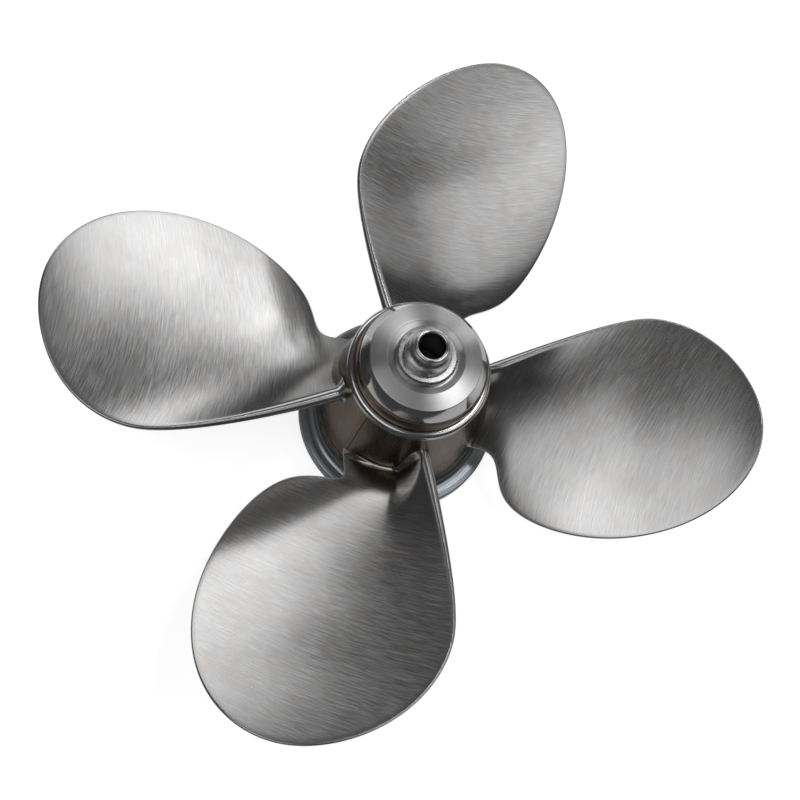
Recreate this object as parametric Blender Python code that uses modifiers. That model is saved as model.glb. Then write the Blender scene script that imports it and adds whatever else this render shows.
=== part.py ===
"""Four-bladed ship propeller in stainless steel, built up from a flanged hub and four set blades.

Metres, +Z along the shaft from the rear flange to the nose. The origin is the middle of the
flange's rear face, so the propeller rests on that face with its shaft line upright.
Each blade is drawn in its own frame: u runs out along the blade's spindle, w runs across the
blade towards its trailing edge, and the pitch turns w out of the disc.
"""

import math

import bmesh
import bpy
import numpy as np

MM = 0.001
COLLECTION = "ship_propeller"
BLADE_COUNT = 4
GAP = 0.3 * MM
ROUND_STEPS = 64
SMALL_ROUND_STEPS = 48
WELD_POINTS_WITHIN = 0.05 * MM

# Shaft core and rear flange
SHAFT_BORE_RADIUS = 17.5 * MM
SHAFT_BORE_CHAMFER = 1.5 * MM
KEYWAY_WIDTH = 10.0 * MM
KEYWAY_DEPTH = 3.5 * MM
CORE_RADIUS = 33.7 * MM
FLANGE_RADIUS = 61.6 * MM
FLANGE_THICKNESS = 8.0 * MM
FLANGE_EDGE_BEVEL = 1.2 * MM
FLANGE_LAND_RADIUS = 56.2 * MM
FLANGE_COLLAR_RADIUS = 50.8 * MM
FLANGE_COLLAR_TOP = 13.2 * MM
WELD_RADIUS = 49.1 * MM
WELD_SIZE = 1.7 * MM

# Tapered hub barrel in four segments, and what is stacked in front of it
BARREL_REAR_RADIUS = 49.6 * MM
BARREL_FRONT_RADIUS = 40.2 * MM
BARREL_TOP = 79.5 * MM
BARREL_EDGE_BEVEL = 0.4 * MM
FIRST_SEAM = 222.0
BEAD_RADIUS = 41.5 * MM
BEAD_HEIGHT = 6.4 * MM
NECK_RADIUS = 37.4 * MM
NECK_BORE_RADIUS = 29.0 * MM
NECK_HEIGHT = 9.0 * MM
NECK_TOP_BEVEL = (1.0 * MM, 2.0 * MM)
NECK_FOOT_BEVEL = (0.8 * MM, 1.2 * MM)
CAP_RADIUS = 35.8 * MM
CAP_LIP_HEIGHT = 1.2 * MM
CAP_FACE_RADIUS = 31.4 * MM
CAP_CHAMFER_HEIGHT = 6.9 * MM
CAP_STEP_RADIUS = 21.8 * MM
CAP_FACE_RISE = 1.2 * MM
CAP_STEP_DROP = 0.5 * MM
CAP_STEP_WIDTH = 0.5 * MM
CAP_SEAT_RADIUS = 18.2 * MM
CAP_SEAT_DROP = 1.2 * MM
COLLAR_RADIUS = 17.3 * MM
COLLAR_HEIGHT = 4.0 * MM
COLLAR_BEVEL = 1.1 * MM
COLLAR_TAPER = 0.4 * MM
SPIGOT_BORE_RADIUS = 7.3 * MM
SPIGOT_STEM_RADIUS = 9.4 * MM
SPIGOT_STEM_DEPTH = 8.0 * MM
SPIGOT_FOOT_RADIUS = 13.4 * MM
SPIGOT_SHOULDER_RADIUS = 12.0 * MM
SPIGOT_RIM_RADIUS = 10.0 * MM
SPIGOT_HEIGHT = 13.4 * MM
SPIGOT_SHOULDER_HEIGHT = 8.8 * MM
SPIGOT_RIM_COVE = 1.6 * MM
SPIGOT_SHOULDER_BEVEL = (0.6 * MM, 1.0 * MM)
SPIGOT_WAIST_HEIGHT = 5.0 * MM
SPIGOT_FLARE = (0.4 * MM, 2.5 * MM)
SPIGOT_FOOT_HEIGHT = 0.6 * MM

# Blade outline: control points of one smooth curve in mm (u, w), from the leading edge round the
# tip to the trailing root, where the edge swells to a rod; each blade's own notch comes first
OUTLINE_MM = (
    (127.0, -68.0),
    (175.0, -59.0),
    (210.0, -32.0),
    (220.0, 14.0),
    (188.0, 63.0),
    (139.0, 84.0),
    (107.0, 73.0),
    (31.0, 30.5),
)
OUTLINE_SAMPLES = 1201

# Blade surface: pitch, height at mid blade, rake, cup across the blade and dish along it
PITCH_PER_RADIAN = 37.5 * MM
MID_BLADE_RADIUS = 122.0 * MM
MID_BLADE_HEIGHT = 49.5 * MM
RAKE = 0.262
CUP_PER_METRE = 0.61
DISH_PER_METRE = 1.28

# Spoon beaten into each root: where it is deepest across the blade, its width on the leading side
# and on the side of the rod, where it starts, and how far out it falls to about a third
SPOON_MIDDLE = 19.0 * MM
SPOON_LEADING_WIDTH = 46.0 * MM
SPOON_ROD_WIDTH = 15.0 * MM
SPOON_START = 42.0 * MM
SPOON_REACH = 11.0 * MM

# Powers (i, j) of the hand-beaten warp: height is the sum of c (out / reach)^i (w / width)^j
WARP_POWERS = ((1, 0), (0, 1), (2, 0), (1, 1), (0, 2), (3, 0), (2, 1))
WARP_POWERS += ((1, 2), (0, 3), (4, 0), (3, 1), (2, 2), (1, 3), (0, 4))
WARP_REACH = 80 * MM
WARP_WIDTH = 70 * MM

# How each blade was set by hand: azimuth in degrees, chord and reach against the drawing, lift in
# mm, the sweep and bow that move a chord place outwards by w and by w squared in metres, the
# notch's control points (u, w) in mm, how much wider the rod's root stands in mm, the depth of the
# root's spoon in mm, and the warp's heights c in mm
BLADE_SETTINGS = {
    "blade_1": {
        "azimuth": -13.3,
        "chord": 0.968,
        "reach": 0.951,
        "lift": -1.6,
        "sweep": 0.105,
        "bow": 0.25,
        "notch": ((31.0, -27.0), (42.0, -25.0), (71.7, -15.2), (74.9, -54.8)),
        "rod_root": -5.0,
        "spoon": 9.0,
        "warp": (-0.1, 1.6, 1.5, 0.6, -1.5, 0.2, 0.1, -0.6, 0.2, 0.9, 0.1, -0.3, -0.2, 0.3),
    },
    "blade_2": {
        "azimuth": 71.1,
        "chord": 0.962,
        "reach": 1.034,
        "lift": -1.0,
        "sweep": -0.215,
        "bow": -0.13,
        "notch": ((31.0, -29.0), (42.0, -27.0), (63.4, -18.4), (69.1, -55.0)),
        "rod_root": 0.0,
        "spoon": 0.0,
        "warp": (-1.4, 0.2, -0.5, -0.8, -0.9, -0.9, -0.1, -1.0, 0.3, -0.5, -0.1, 0.0, -0.5, -0.8),
    },
    "blade_3": {
        "azimuth": 162.3,
        "chord": 1.086,
        "reach": 0.994,
        "lift": 0.5,
        "sweep": 0.09,
        "bow": 0.02,
        "notch": ((31.0, -43.0), (42.0, -41.5), (64.5, -13.8), (74.0, -52.0)),
        "rod_root": 0.0,
        "spoon": 0.0,
        "warp": (-3.2, -0.8, 1.4, -0.7, -1.0, -0.9, -0.3, -1.2, 0.7, 0.4, 0.8, -0.8, -0.8, 1.0),
    },
    "blade_4": {
        "azimuth": 244.7,
        "chord": 1.009,
        "reach": 1.005,
        "lift": 2.2,
        "sweep": -0.014,
        "bow": -0.05,
        "notch": ((31.0, -33.0), (42.0, -31.0), (69.0, 1.5), (59.0, -55.0)),
        "rod_root": 0.0,
        "spoon": 28.0,
        "warp": (-0.6, 0.4, 0.4, -1.0, -0.6, -0.5, -0.1, -0.2, 0.6, 0.3, 0.0, -0.3, -0.2, 0.4),
    },
}

# Blade thickness, its edges, and the hollow where it runs into the hub
ROOT_THICKNESS = 9.0 * MM
TIP_THICKNESS = 2.4 * MM
LEADING_EDGE_ROOT = 3.0 * MM
TRAILING_EDGE_ROOT = 8.4 * MM
EDGE_AT_TIP = 1.8 * MM
EDGE_TAPER = 3.0
BELLY = 0.7
ROD_HOLLOW = 5.0 * MM
NOTCH_HOLLOW = 2.5 * MM
FACE_HOLLOW = 4.0 * MM
HOLLOW_HEIGHT = 0.8
HOLLOW_POWER = 2.6

# Blade mesh: distances of the sections from the hub in mm, rays round the tip, points on a ray,
# and the steps that a section's chord places are read and settled in
SECTION_DISTANCES_MM = (-1.6, 0.5, 1.4, 2.8, 5.0, 8.0, 12.0, 18.0, 26.0, 36.0, 48.0, 62.0, 78.0, 94.0)
TIP_RAYS = 19
RIM_POINTS = 4
FACE_POINTS = 8
RIM_SHARE_OF_RAY = 0.45
SECTION_SAMPLES = 41
SECTION_ROUNDS = 30
NORMAL_STEP = 0.05 * MM
JOIN_POINTS_WITHIN = 0.001 * MM

# Cutters: how far they stand past what they cut, and the drop that keeps two steps apart
CUTTER_MARGIN = 5.0 * MM
ENVELOPE_HEADROOM = 30.0 * MM
STEP_DROP = 0.01 * MM


def material(name, colour, roughness, metallic=1.0):
    """A Principled material with one colour, roughness and metallic value."""
    made = bpy.data.materials.new(name)
    made.use_nodes = True
    shader = made.node_tree.nodes["Principled BSDF"]
    shader.inputs["Base Color"].default_value = (*colour, 1.0)
    shader.inputs["Roughness"].default_value = roughness
    shader.inputs["Metallic"].default_value = metallic
    return made


def collection(name):
    """A new collection in the scene."""
    made = bpy.data.collections.new(name)
    bpy.context.scene.collection.children.link(made)
    return made


def add_object(name, mesh, where, finish):
    """Put a mesh in a collection as an object with a material, shaded smooth but for sharp edges."""
    made = bpy.data.objects.new(name, mesh)
    where.objects.link(made)
    mesh.materials.append(finish)
    mesh.shade_smooth()
    mesh.set_sharp_from_angle(angle=math.radians(35))
    return made


def arc(centre, radius, start, end, steps):
    """Points of an arc, from start to end in degrees, as (r, z)."""
    angles = np.radians(np.linspace(start, end, steps + 1))
    return [(centre[0] + radius * math.cos(a), centre[1] + radius * math.sin(a)) for a in angles]


def turned(name, profile, where, finish, steps=ROUND_STEPS):
    """Turn a closed (r, z) profile round the shaft line; its outer side runs top to bottom."""
    mesh = bpy.data.meshes.new(name)
    count = len(profile)
    points = [(r, 0.0, z) for r, z in profile]
    edges = [(i, (i + 1) % count) for i in range(count)]
    mesh.from_pydata(points, edges, [])
    made = add_object(name, mesh, where, finish)
    screw = made.modifiers.new("turn", "SCREW")
    screw.axis = "Z"
    screw.angle = 2 * math.pi
    screw.steps = steps
    screw.render_steps = steps
    screw.use_merge_vertices = True
    screw.merge_threshold = WELD_POINTS_WITHIN
    screw.use_smooth_shade = True
    return made


def cut(target, cutter, operation="DIFFERENCE"):
    """Add an exact Boolean to an object."""
    step = target.modifiers.new(cutter.name, "BOOLEAN")
    step.operation = operation
    step.solver = "EXACT"
    step.object = cutter


def as_cutter(made):
    """Mark an object as a cutter, left out of the part."""
    made.hide_render = True
    made.display_type = "WIRE"
    return made


def box(name, low, high, where, finish):
    """A box between two corners."""
    low = np.array(low)
    high = np.array(high)
    shape = bmesh.new()
    bmesh.ops.create_cube(shape, size=1.0)
    bmesh.ops.scale(shape, vec=high - low, verts=shape.verts)
    bmesh.ops.translate(shape, vec=(low + high) / 2, verts=shape.verts)
    mesh = bpy.data.meshes.new(name)
    shape.to_mesh(mesh)
    shape.free()
    return add_object(name, mesh, where, finish)


def stack():
    """Heights of the pieces in front of the barrel, worked out from their thicknesses."""
    bead_bottom = BARREL_TOP + GAP
    core_top = bead_bottom + BEAD_HEIGHT
    neck_bottom = core_top + GAP
    neck_top = neck_bottom + NECK_HEIGHT
    cap_bottom = neck_top + GAP
    chamfer_top = cap_bottom + CAP_LIP_HEIGHT + CAP_CHAMFER_HEIGHT
    face_top = chamfer_top + CAP_FACE_RISE
    seat = face_top - CAP_STEP_DROP - CAP_SEAT_DROP
    collar_bottom = seat + GAP
    collar_top = collar_bottom + COLLAR_HEIGHT
    return {
        "bead_bottom": bead_bottom,
        "core_top": core_top,
        "neck_bottom": neck_bottom,
        "neck_top": neck_top,
        "cap_bottom": cap_bottom,
        "lip_top": cap_bottom + CAP_LIP_HEIGHT,
        "chamfer_top": chamfer_top,
        "face_top": face_top,
        "seat": seat,
        "collar_bottom": collar_bottom,
        "collar_top": collar_top,
        "spigot_bottom": collar_top + GAP,
    }


def flange_outline(grow=0.0):
    """The flange's front side from its collar down the cove to its bevelled rim, as (r, z)."""
    height = FLANGE_COLLAR_TOP - FLANGE_THICKNESS
    width = FLANGE_LAND_RADIUS - FLANGE_COLLAR_RADIUS
    cove = [
        (
            FLANGE_LAND_RADIUS + width * math.cos(a) + grow,
            FLANGE_COLLAR_TOP + height * math.sin(a) + grow,
        )
        for a in np.radians(np.linspace(180, 270, 6))
    ]
    rim = [
        (FLANGE_RADIUS - FLANGE_EDGE_BEVEL, FLANGE_THICKNESS + grow),
        (FLANGE_RADIUS, FLANGE_THICKNESS - FLANGE_EDGE_BEVEL),
    ]
    return cove + rim


def make_flange(where, finish):
    """Rear flange: a disc with a filleted collar that the core stands in."""
    bore = CORE_RADIUS + GAP
    profile = [(bore, FLANGE_COLLAR_TOP)]
    profile += flange_outline()
    profile += [(FLANGE_RADIUS, 0.0), (bore, 0.0)]
    return turned("rear_flange", profile, where, finish)


def make_weld(where, finish):
    """Weld bead between the flange's collar and the barrel: a half-round ring on a flat back."""
    bottom = FLANGE_COLLAR_TOP + GAP
    middle = (WELD_RADIUS, bottom + WELD_SIZE)
    inner = CORE_RADIUS + GAP
    top = bottom + 2 * WELD_SIZE
    profile = [(inner, top)]
    profile += arc(middle, WELD_SIZE, 90, -90, 6)
    profile += [(inner, bottom)]
    return turned("flange_weld", profile, where, finish)


def barrel_bottom():
    """Height where the barrel starts, above the weld bead."""
    return FLANGE_COLLAR_TOP + GAP + 2 * WELD_SIZE + GAP


def barrel_radius(z):
    """Radius of the tapered barrel at height z."""
    share = np.clip((z - barrel_bottom()) / (BARREL_TOP - barrel_bottom()), 0, 1)
    return BARREL_REAR_RADIUS + (BARREL_FRONT_RADIUS - BARREL_REAR_RADIUS) * share


def make_core(where, cutters, finish):
    """Hub core: a thick tube with the shaft bore and its keyway."""
    top = stack()["core_top"]
    chamfer = SHAFT_BORE_CHAMFER
    profile = [
        (SHAFT_BORE_RADIUS + chamfer, top),
        (CORE_RADIUS, top),
        (CORE_RADIUS, 0.0),
        (SHAFT_BORE_RADIUS + chamfer, 0.0),
        (SHAFT_BORE_RADIUS, chamfer),
        (SHAFT_BORE_RADIUS, top - chamfer),
    ]
    core = turned("hub_core", profile, where, finish)
    half = KEYWAY_WIDTH / 2
    reach = SHAFT_BORE_RADIUS + KEYWAY_DEPTH
    low = (SHAFT_BORE_RADIUS / 2, -half, -CUTTER_MARGIN)
    high = (reach, half, top + CUTTER_MARGIN)
    key = as_cutter(box("keyway_cutter", low, high, cutters, finish))
    cut(core, key)
    return core


def make_segment(index, seam_angle, where, finish):
    """One barrel segment: a tapered quarter shell round the core, between two seams."""
    inner = CORE_RADIUS + GAP
    bottom = barrel_bottom()
    bevel = BARREL_EDGE_BEVEL
    profile = [
        (inner, bottom),
        (BARREL_REAR_RADIUS - bevel, bottom),
        (BARREL_REAR_RADIUS, bottom + bevel),
        (BARREL_FRONT_RADIUS, BARREL_TOP - bevel),
        (BARREL_FRONT_RADIUS - bevel, BARREL_TOP),
        (inner, BARREL_TOP),
    ]
    half_seam = math.asin(GAP / 2 / inner)
    start = seam_angle + half_seam
    sweep = 2 * math.pi / BLADE_COUNT - 2 * half_seam
    shape = bmesh.new()
    corners = [shape.verts.new((r * math.cos(start), r * math.sin(start), z)) for r, z in profile]
    face = shape.faces.new(corners)
    bmesh.ops.spin(
        shape,
        geom=[face, *face.edges, *face.verts],
        axis=(0, 0, 1),
        cent=(0, 0, 0),
        angle=sweep,
        steps=ROUND_STEPS // BLADE_COUNT,
        use_duplicate=False,
    )
    bmesh.ops.recalc_face_normals(shape, faces=shape.faces)
    name = f"hub_segment_{index}"
    mesh = bpy.data.meshes.new(name)
    shape.to_mesh(mesh)
    shape.free()
    return add_object(name, mesh, where, finish)


def make_bead(where, finish):
    """Front bead ring: a half-round ring that holds the segments' front ends."""
    bottom = stack()["bead_bottom"]
    half = BEAD_HEIGHT / 2
    inner = CORE_RADIUS + GAP
    profile = [(inner, bottom + BEAD_HEIGHT)]
    profile += arc((BEAD_RADIUS - half, bottom + half), half, 90, -90, 7)
    profile += [(inner, bottom)]
    return turned("front_bead_ring", profile, where, finish)


def make_neck(where, finish):
    """Neck band between the bead ring and the nose cap, bevelled at its top and foot."""
    heights = stack()
    bottom = heights["neck_bottom"]
    top = heights["neck_top"]
    profile = [
        (NECK_BORE_RADIUS, top),
        (NECK_RADIUS - NECK_TOP_BEVEL[0], top),
        (NECK_RADIUS, top - NECK_TOP_BEVEL[1]),
        (NECK_RADIUS, bottom + NECK_FOOT_BEVEL[1]),
        (NECK_RADIUS - NECK_FOOT_BEVEL[0], bottom),
        (NECK_BORE_RADIUS, bottom),
    ]
    return turned("neck_band", profile, where, finish, SMALL_ROUND_STEPS)


def make_cap(where, finish):
    """Nose cap: chamfered disc, stepped down to a dished seat for the collar."""
    heights = stack()
    bottom = heights["cap_bottom"]
    inner = SPIGOT_STEM_RADIUS + GAP
    step_top = heights["face_top"] - CAP_STEP_DROP
    profile = [
        (inner, heights["seat"]),
        (CAP_SEAT_RADIUS, heights["seat"]),
        (CAP_STEP_RADIUS - CAP_STEP_WIDTH, step_top),
        (CAP_STEP_RADIUS, heights["face_top"]),
        (CAP_FACE_RADIUS, heights["chamfer_top"]),
        (CAP_RADIUS, heights["lip_top"]),
        (CAP_RADIUS, bottom),
        (inner, bottom),
    ]
    return turned("nose_cap", profile, where, finish, SMALL_ROUND_STEPS)


def make_collar(where, finish):
    """Spigot collar: a bevelled washer under the spigot's foot."""
    heights = stack()
    inner = SPIGOT_STEM_RADIUS + GAP
    top = heights["collar_top"]
    profile = [
        (inner, top),
        (COLLAR_RADIUS - COLLAR_BEVEL, top),
        (COLLAR_RADIUS, top - COLLAR_BEVEL),
        (COLLAR_RADIUS - COLLAR_TAPER, heights["collar_bottom"]),
        (inner, heights["collar_bottom"]),
    ]
    return turned("spigot_collar", profile, where, finish, SMALL_ROUND_STEPS)


def make_spigot(where, finish):
    """Spigot: a short tube with a flared foot, a shoulder and a rounded rim, on a stem."""
    bottom = stack()["spigot_bottom"]
    rim_round = (SPIGOT_RIM_RADIUS - SPIGOT_BORE_RADIUS) / 2
    top = bottom + SPIGOT_HEIGHT
    shoulder = bottom + SPIGOT_SHOULDER_HEIGHT
    stem_bottom = stack()["seat"] - SPIGOT_STEM_DEPTH
    rim_middle = (SPIGOT_BORE_RADIUS + rim_round, top - rim_round)
    profile = arc(rim_middle, rim_round, 180, 0, 8)
    profile += [
        (SPIGOT_RIM_RADIUS, shoulder + SPIGOT_RIM_COVE),
        (SPIGOT_SHOULDER_RADIUS - SPIGOT_SHOULDER_BEVEL[0], shoulder),
        (SPIGOT_SHOULDER_RADIUS, shoulder - SPIGOT_SHOULDER_BEVEL[1]),
        (SPIGOT_SHOULDER_RADIUS, bottom + SPIGOT_WAIST_HEIGHT),
        (SPIGOT_SHOULDER_RADIUS + SPIGOT_FLARE[0], bottom + SPIGOT_FLARE[1]),
        (SPIGOT_FOOT_RADIUS, bottom + SPIGOT_FOOT_HEIGHT),
        (SPIGOT_FOOT_RADIUS, bottom),
        (SPIGOT_STEM_RADIUS, bottom),
        (SPIGOT_STEM_RADIUS, stem_bottom),
        (SPIGOT_BORE_RADIUS, stem_bottom),
    ]
    return turned("spigot", profile, where, finish, SMALL_ROUND_STEPS)


def smooth_curve(control, count):
    """Clamped cubic B-spline of the control points, read at count even parameters."""
    control = np.array(control)
    degree = 3
    spans = len(control) - degree
    knots = np.concatenate([np.zeros(degree), np.linspace(0, 1, spans + 1), np.ones(degree)])
    at = np.linspace(0, 1, count)[:, None]
    at[-1] = 1 - 1e-9
    weights = ((knots[:-1] <= at) & (at < knots[1:])).astype(float)
    for order in range(1, degree + 1):
        rise = knots[order:-1] - knots[: -order - 1]
        fall = knots[order + 1 :] - knots[1:-order]
        rise_share = (at - knots[: -order - 1]) / np.where(rise > 0, rise, np.inf)
        fall_share = (knots[order + 1 :] - at) / np.where(fall > 0, fall, np.inf)
        weights = rise_share * weights[:, :-1] + fall_share * weights[:, 1:]
    return weights @ control


def plain_surface(u, w, setting):
    """Points of a blade's middle surface at chord places (u, w) before the root was spooned."""
    across = w * setting["chord"]
    angle = np.arctan2(PITCH_PER_RADIAN, u)
    out = u - MID_BLADE_RADIUS
    height = MID_BLADE_HEIGHT + setting["lift"] * MM + RAKE * out + DISH_PER_METRE * out**2
    height = height + across * np.sin(angle) + CUP_PER_METRE * across**2
    height = height + warp(u, w, setting)
    reach = (u + setting["sweep"] * across + setting["bow"] * across**2) * setting["reach"]
    return np.stack([reach, across * np.cos(angle), height], axis=-1)


def middle_surface(u, w, setting):
    """Points of a blade's middle surface, its root spooned, in the blade's own frame."""
    side = w - SPOON_MIDDLE
    share = np.clip(side / np.where(side > 0, SPOON_ROD_WIDTH, SPOON_LEADING_WIDTH), -1, 1)
    out = np.clip(u - SPOON_START, 0, None) / SPOON_REACH
    depth = setting["spoon"] * MM * np.cos(math.pi / 2 * share) ** 2 * np.exp(-out)
    points = plain_surface(u, w, setting)
    return np.concatenate([points[..., :2], points[..., 2:] - depth[..., None]], axis=-1)


def warp(u, w, setting):
    """Height that hand beating added at chord places (u, w)."""
    out = (u - MID_BLADE_RADIUS) / WARP_REACH
    over = w / WARP_WIDTH
    terms = zip(setting["warp"], WARP_POWERS)
    return sum(height * out**first * over**second for height, (first, second) in terms) * MM


def outline(setting):
    """One blade's outline curve, with its own notch and rod root."""
    control = np.array(setting["notch"] + OUTLINE_MM)
    control[-1, 1] += setting["rod_root"]
    return smooth_curve(control * MM, OUTLINE_SAMPLES)


def hub_distance(u, w, setting):
    """How far chord places (u, w) stand out from the barrel."""
    points = middle_surface(u, w, setting)
    return np.hypot(points[..., 0], points[..., 1]) - barrel_radius(points[..., 2])


def face_normal(u, w, setting):
    """Unit normals of the plain surface, on its front side."""
    step = NORMAL_STEP
    along = plain_surface(u + step, w, setting) - plain_surface(u - step, w, setting)
    over = plain_surface(u, w + step, setting) - plain_surface(u, w - step, setting)
    normal = np.cross(along, over)
    return normal / np.linalg.norm(normal, axis=-1, keepdims=True)


def at_distance(edge, distance, setting):
    """The chord place where one edge of the outline, root to tip, is at a distance from the hub."""
    away = np.maximum.accumulate(hub_distance(edge[:, 0], edge[:, 1], setting))
    return np.array([np.interp(distance, away, edge[:, 0]), np.interp(distance, away, edge[:, 1])])


def section_middle(start, end, distance, setting):
    """Chord places across a section, shared evenly from start to end at one distance from the hub."""
    share = np.linspace(0, 1, SECTION_SAMPLES)
    u = start[0] + share * (end[0] - start[0])
    w = start[1] + share * (end[1] - start[1])
    for _ in range(SECTION_ROUNDS):
        u = u + distance - hub_distance(u, w, setting)
    return u, w


def edge_half_thickness(u, w):
    """Half-thickness of the rim at outline places: thick at the roots and thin at the tip."""
    tip = max(point[0] for point in OUTLINE_MM) * MM
    out = np.clip((u - BARREL_FRONT_RADIUS) / (tip - BARREL_FRONT_RADIUS), 0, 1)
    root = np.where(w > 0, TRAILING_EDGE_ROOT, LEADING_EDGE_ROOT)
    return (EDGE_AT_TIP + (root - EDGE_AT_TIP) * (1 - out) ** EDGE_TAPER) / 2


def ray_offsets(length, edge):
    """Distances from the rim of the points on a ray: close round the rim, even over the face."""
    turn = np.linspace(0, math.pi / 2, RIM_POINTS)
    rim = edge * (1 - np.cos(turn))
    face = np.linspace(edge, length, FACE_POINTS + 1)[1:]
    return np.concatenate([rim, face])


def blade_rays(setting):
    """Chord places (u, w), rim distances and ray lengths of all rays, from rim to middle line.

    Rays at the sections run along the section to its middle. Rays round the tip run straight to
    the middle of the last section. They go up the leading edge, round the tip and back.
    """
    line = outline(setting)
    top = int(np.argmax(line[:, 0]))
    edges = (line[: top + 1], line[: top - 1 : -1])
    sides = ([], [])
    for distance in np.array(SECTION_DISTANCES_MM) * MM:
        ends = [at_distance(edge, distance, setting) for edge in edges]
        u, w = section_middle(ends[0], ends[1], distance, setting)
        steps = np.hypot(np.diff(u), np.diff(w))
        travelled = np.concatenate([[0], np.cumsum(steps)])
        length = travelled[-1] / 2
        for side, end in enumerate(ends):
            hollow = root_hollow(distance, rim_reach(end[1]))
            edge = float(edge_half_thickness(end[0], end[1]) + hollow)
            offset = ray_offsets(length, min(edge, RIM_SHARE_OF_RAY * length))
            place = offset if side == 0 else travelled[-1] - offset
            ray = np.stack([np.interp(place, travelled, u), np.interp(place, travelled, w)], axis=-1)
            sides[side].append((ray, offset, length))
    centre = sides[0][-1][0][-1]
    starts = [int(np.argmin(np.linalg.norm(line - side[-1][0][0], axis=1))) for side in sides]
    cap = line[starts[0] : starts[1] + 1]
    travelled = np.concatenate([[0], np.cumsum(np.linalg.norm(np.diff(cap, axis=0), axis=1))])
    places = np.linspace(0, travelled[-1], TIP_RAYS + 2)[1:-1]
    tip = []
    for place in places:
        rim = np.array([np.interp(place, travelled, cap[:, 0]), np.interp(place, travelled, cap[:, 1])])
        length = float(np.linalg.norm(centre - rim))
        edge = float(edge_half_thickness(rim[0], rim[1]))
        offset = ray_offsets(length, edge)
        tip.append((rim + (centre - rim) * offset[:, None] / length, offset, length))
    return sides[0] + tip + sides[1][::-1]


def rim_reach(w):
    """How far out the rim's root hollow runs: long at the rod, short at the notch."""
    return np.where(w > 0, ROD_HOLLOW, NOTCH_HOLLOW)


def root_hollow(distance, reach):
    """Half-thickness that the root's hollow adds at a distance from the hub, gone at its reach."""
    return HOLLOW_HEIGHT * reach * (1 - np.clip(distance / reach, 0, 1)) ** HOLLOW_POWER


def onto_hub(points, distance, reach):
    """Draw face points near the root to their distance from the barrel, fully so at the hub."""
    radius = np.hypot(points[..., 0], points[..., 1])
    share = (1 - np.clip(distance / reach, 0, 1)) ** 2
    moved = radius - share * (radius - barrel_radius(points[..., 2]) - distance)
    flat = points[..., :2] * (moved / radius)[..., None]
    return np.concatenate([flat, points[..., 2:]], axis=-1)


def blade_shells(setting):
    """Front and rear points of all rays, turned to the blade's azimuth."""
    rays = blade_rays(setting)
    places = np.array([ray for ray, _, _ in rays])
    offset = np.array([gone for _, gone, _ in rays])
    length = np.array([whole for _, _, whole in rays])[:, None]
    u = places[..., 0]
    w = places[..., 1]
    edge = edge_half_thickness(u[:, :1], w[:, :1])
    tip = u.max()
    out = np.clip((u - BARREL_FRONT_RADIUS) / (tip - BARREL_FRONT_RADIUS), 0, 1)
    full = (ROOT_THICKNESS + (TIP_THICKNESS - ROOT_THICKNESS) * np.sqrt(out)) / 2
    share = np.sin(math.pi / 2 * np.clip(offset / length, 0, 1))
    away = hub_distance(u, w, setting)
    rim_hollow = rim_reach(w[:, :1])
    rim = np.minimum(edge + root_hollow(away[:, :1], rim_hollow), RIM_SHARE_OF_RAY * length)
    rounding = np.sqrt(1 - (1 - np.clip(offset / rim, 0, 1)) ** 2)
    reach = rim_hollow + (FACE_HOLLOW - rim_hollow) * share
    half = (edge + (full - edge) * share**BELLY + root_hollow(away, reach)) * rounding
    middle = middle_surface(u, w, setting)
    shift = face_normal(u, w, setting) * half[..., None]
    front = onto_hub(middle + shift, away, reach)
    rear = onto_hub(middle - shift, away, reach)
    angle = math.radians(setting["azimuth"])
    turn = np.array(
        [
            [math.cos(angle), -math.sin(angle), 0],
            [math.sin(angle), math.cos(angle), 0],
            [0, 0, 1],
        ]
    )
    return front @ turn.T, rear @ turn.T


def make_blade(name, setting, envelope, where, finish):
    """One blade: front and rear faces over the same rays, closed at the root and cut to the hub."""
    front, rear = blade_shells(setting)
    rays, columns, _ = front.shape
    ray, column = np.meshgrid(np.arange(rays - 1), np.arange(columns - 1), indexing="ij")
    corner = ray * columns + column
    quads = np.stack([corner, corner + columns, corner + columns + 1, corner + 1], axis=-1).reshape(-1, 4)
    behind = rays * columns
    cap = np.concatenate([np.arange(columns - 1), (rays - 1) * columns + np.arange(columns - 1)])
    ends = np.stack([cap, cap + 1, cap + 1 + behind, cap + behind], axis=-1)
    points = np.concatenate([front.reshape(-1, 3), rear.reshape(-1, 3)])
    faces = np.concatenate([quads, quads + behind, ends])
    shape = bmesh.new()
    corners = [shape.verts.new(point) for point in points.tolist()]
    for face in faces.tolist():
        shape.faces.new([corners[i] for i in face])
    bmesh.ops.remove_doubles(shape, verts=shape.verts, dist=JOIN_POINTS_WITHIN)
    bmesh.ops.dissolve_degenerate(shape, edges=shape.edges, dist=JOIN_POINTS_WITHIN)
    bmesh.ops.recalc_face_normals(shape, faces=shape.faces)
    mesh = bpy.data.meshes.new(name)
    shape.to_mesh(mesh)
    shape.free()
    made = add_object(name, mesh, where, finish)
    cut(made, envelope)
    return made


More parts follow.
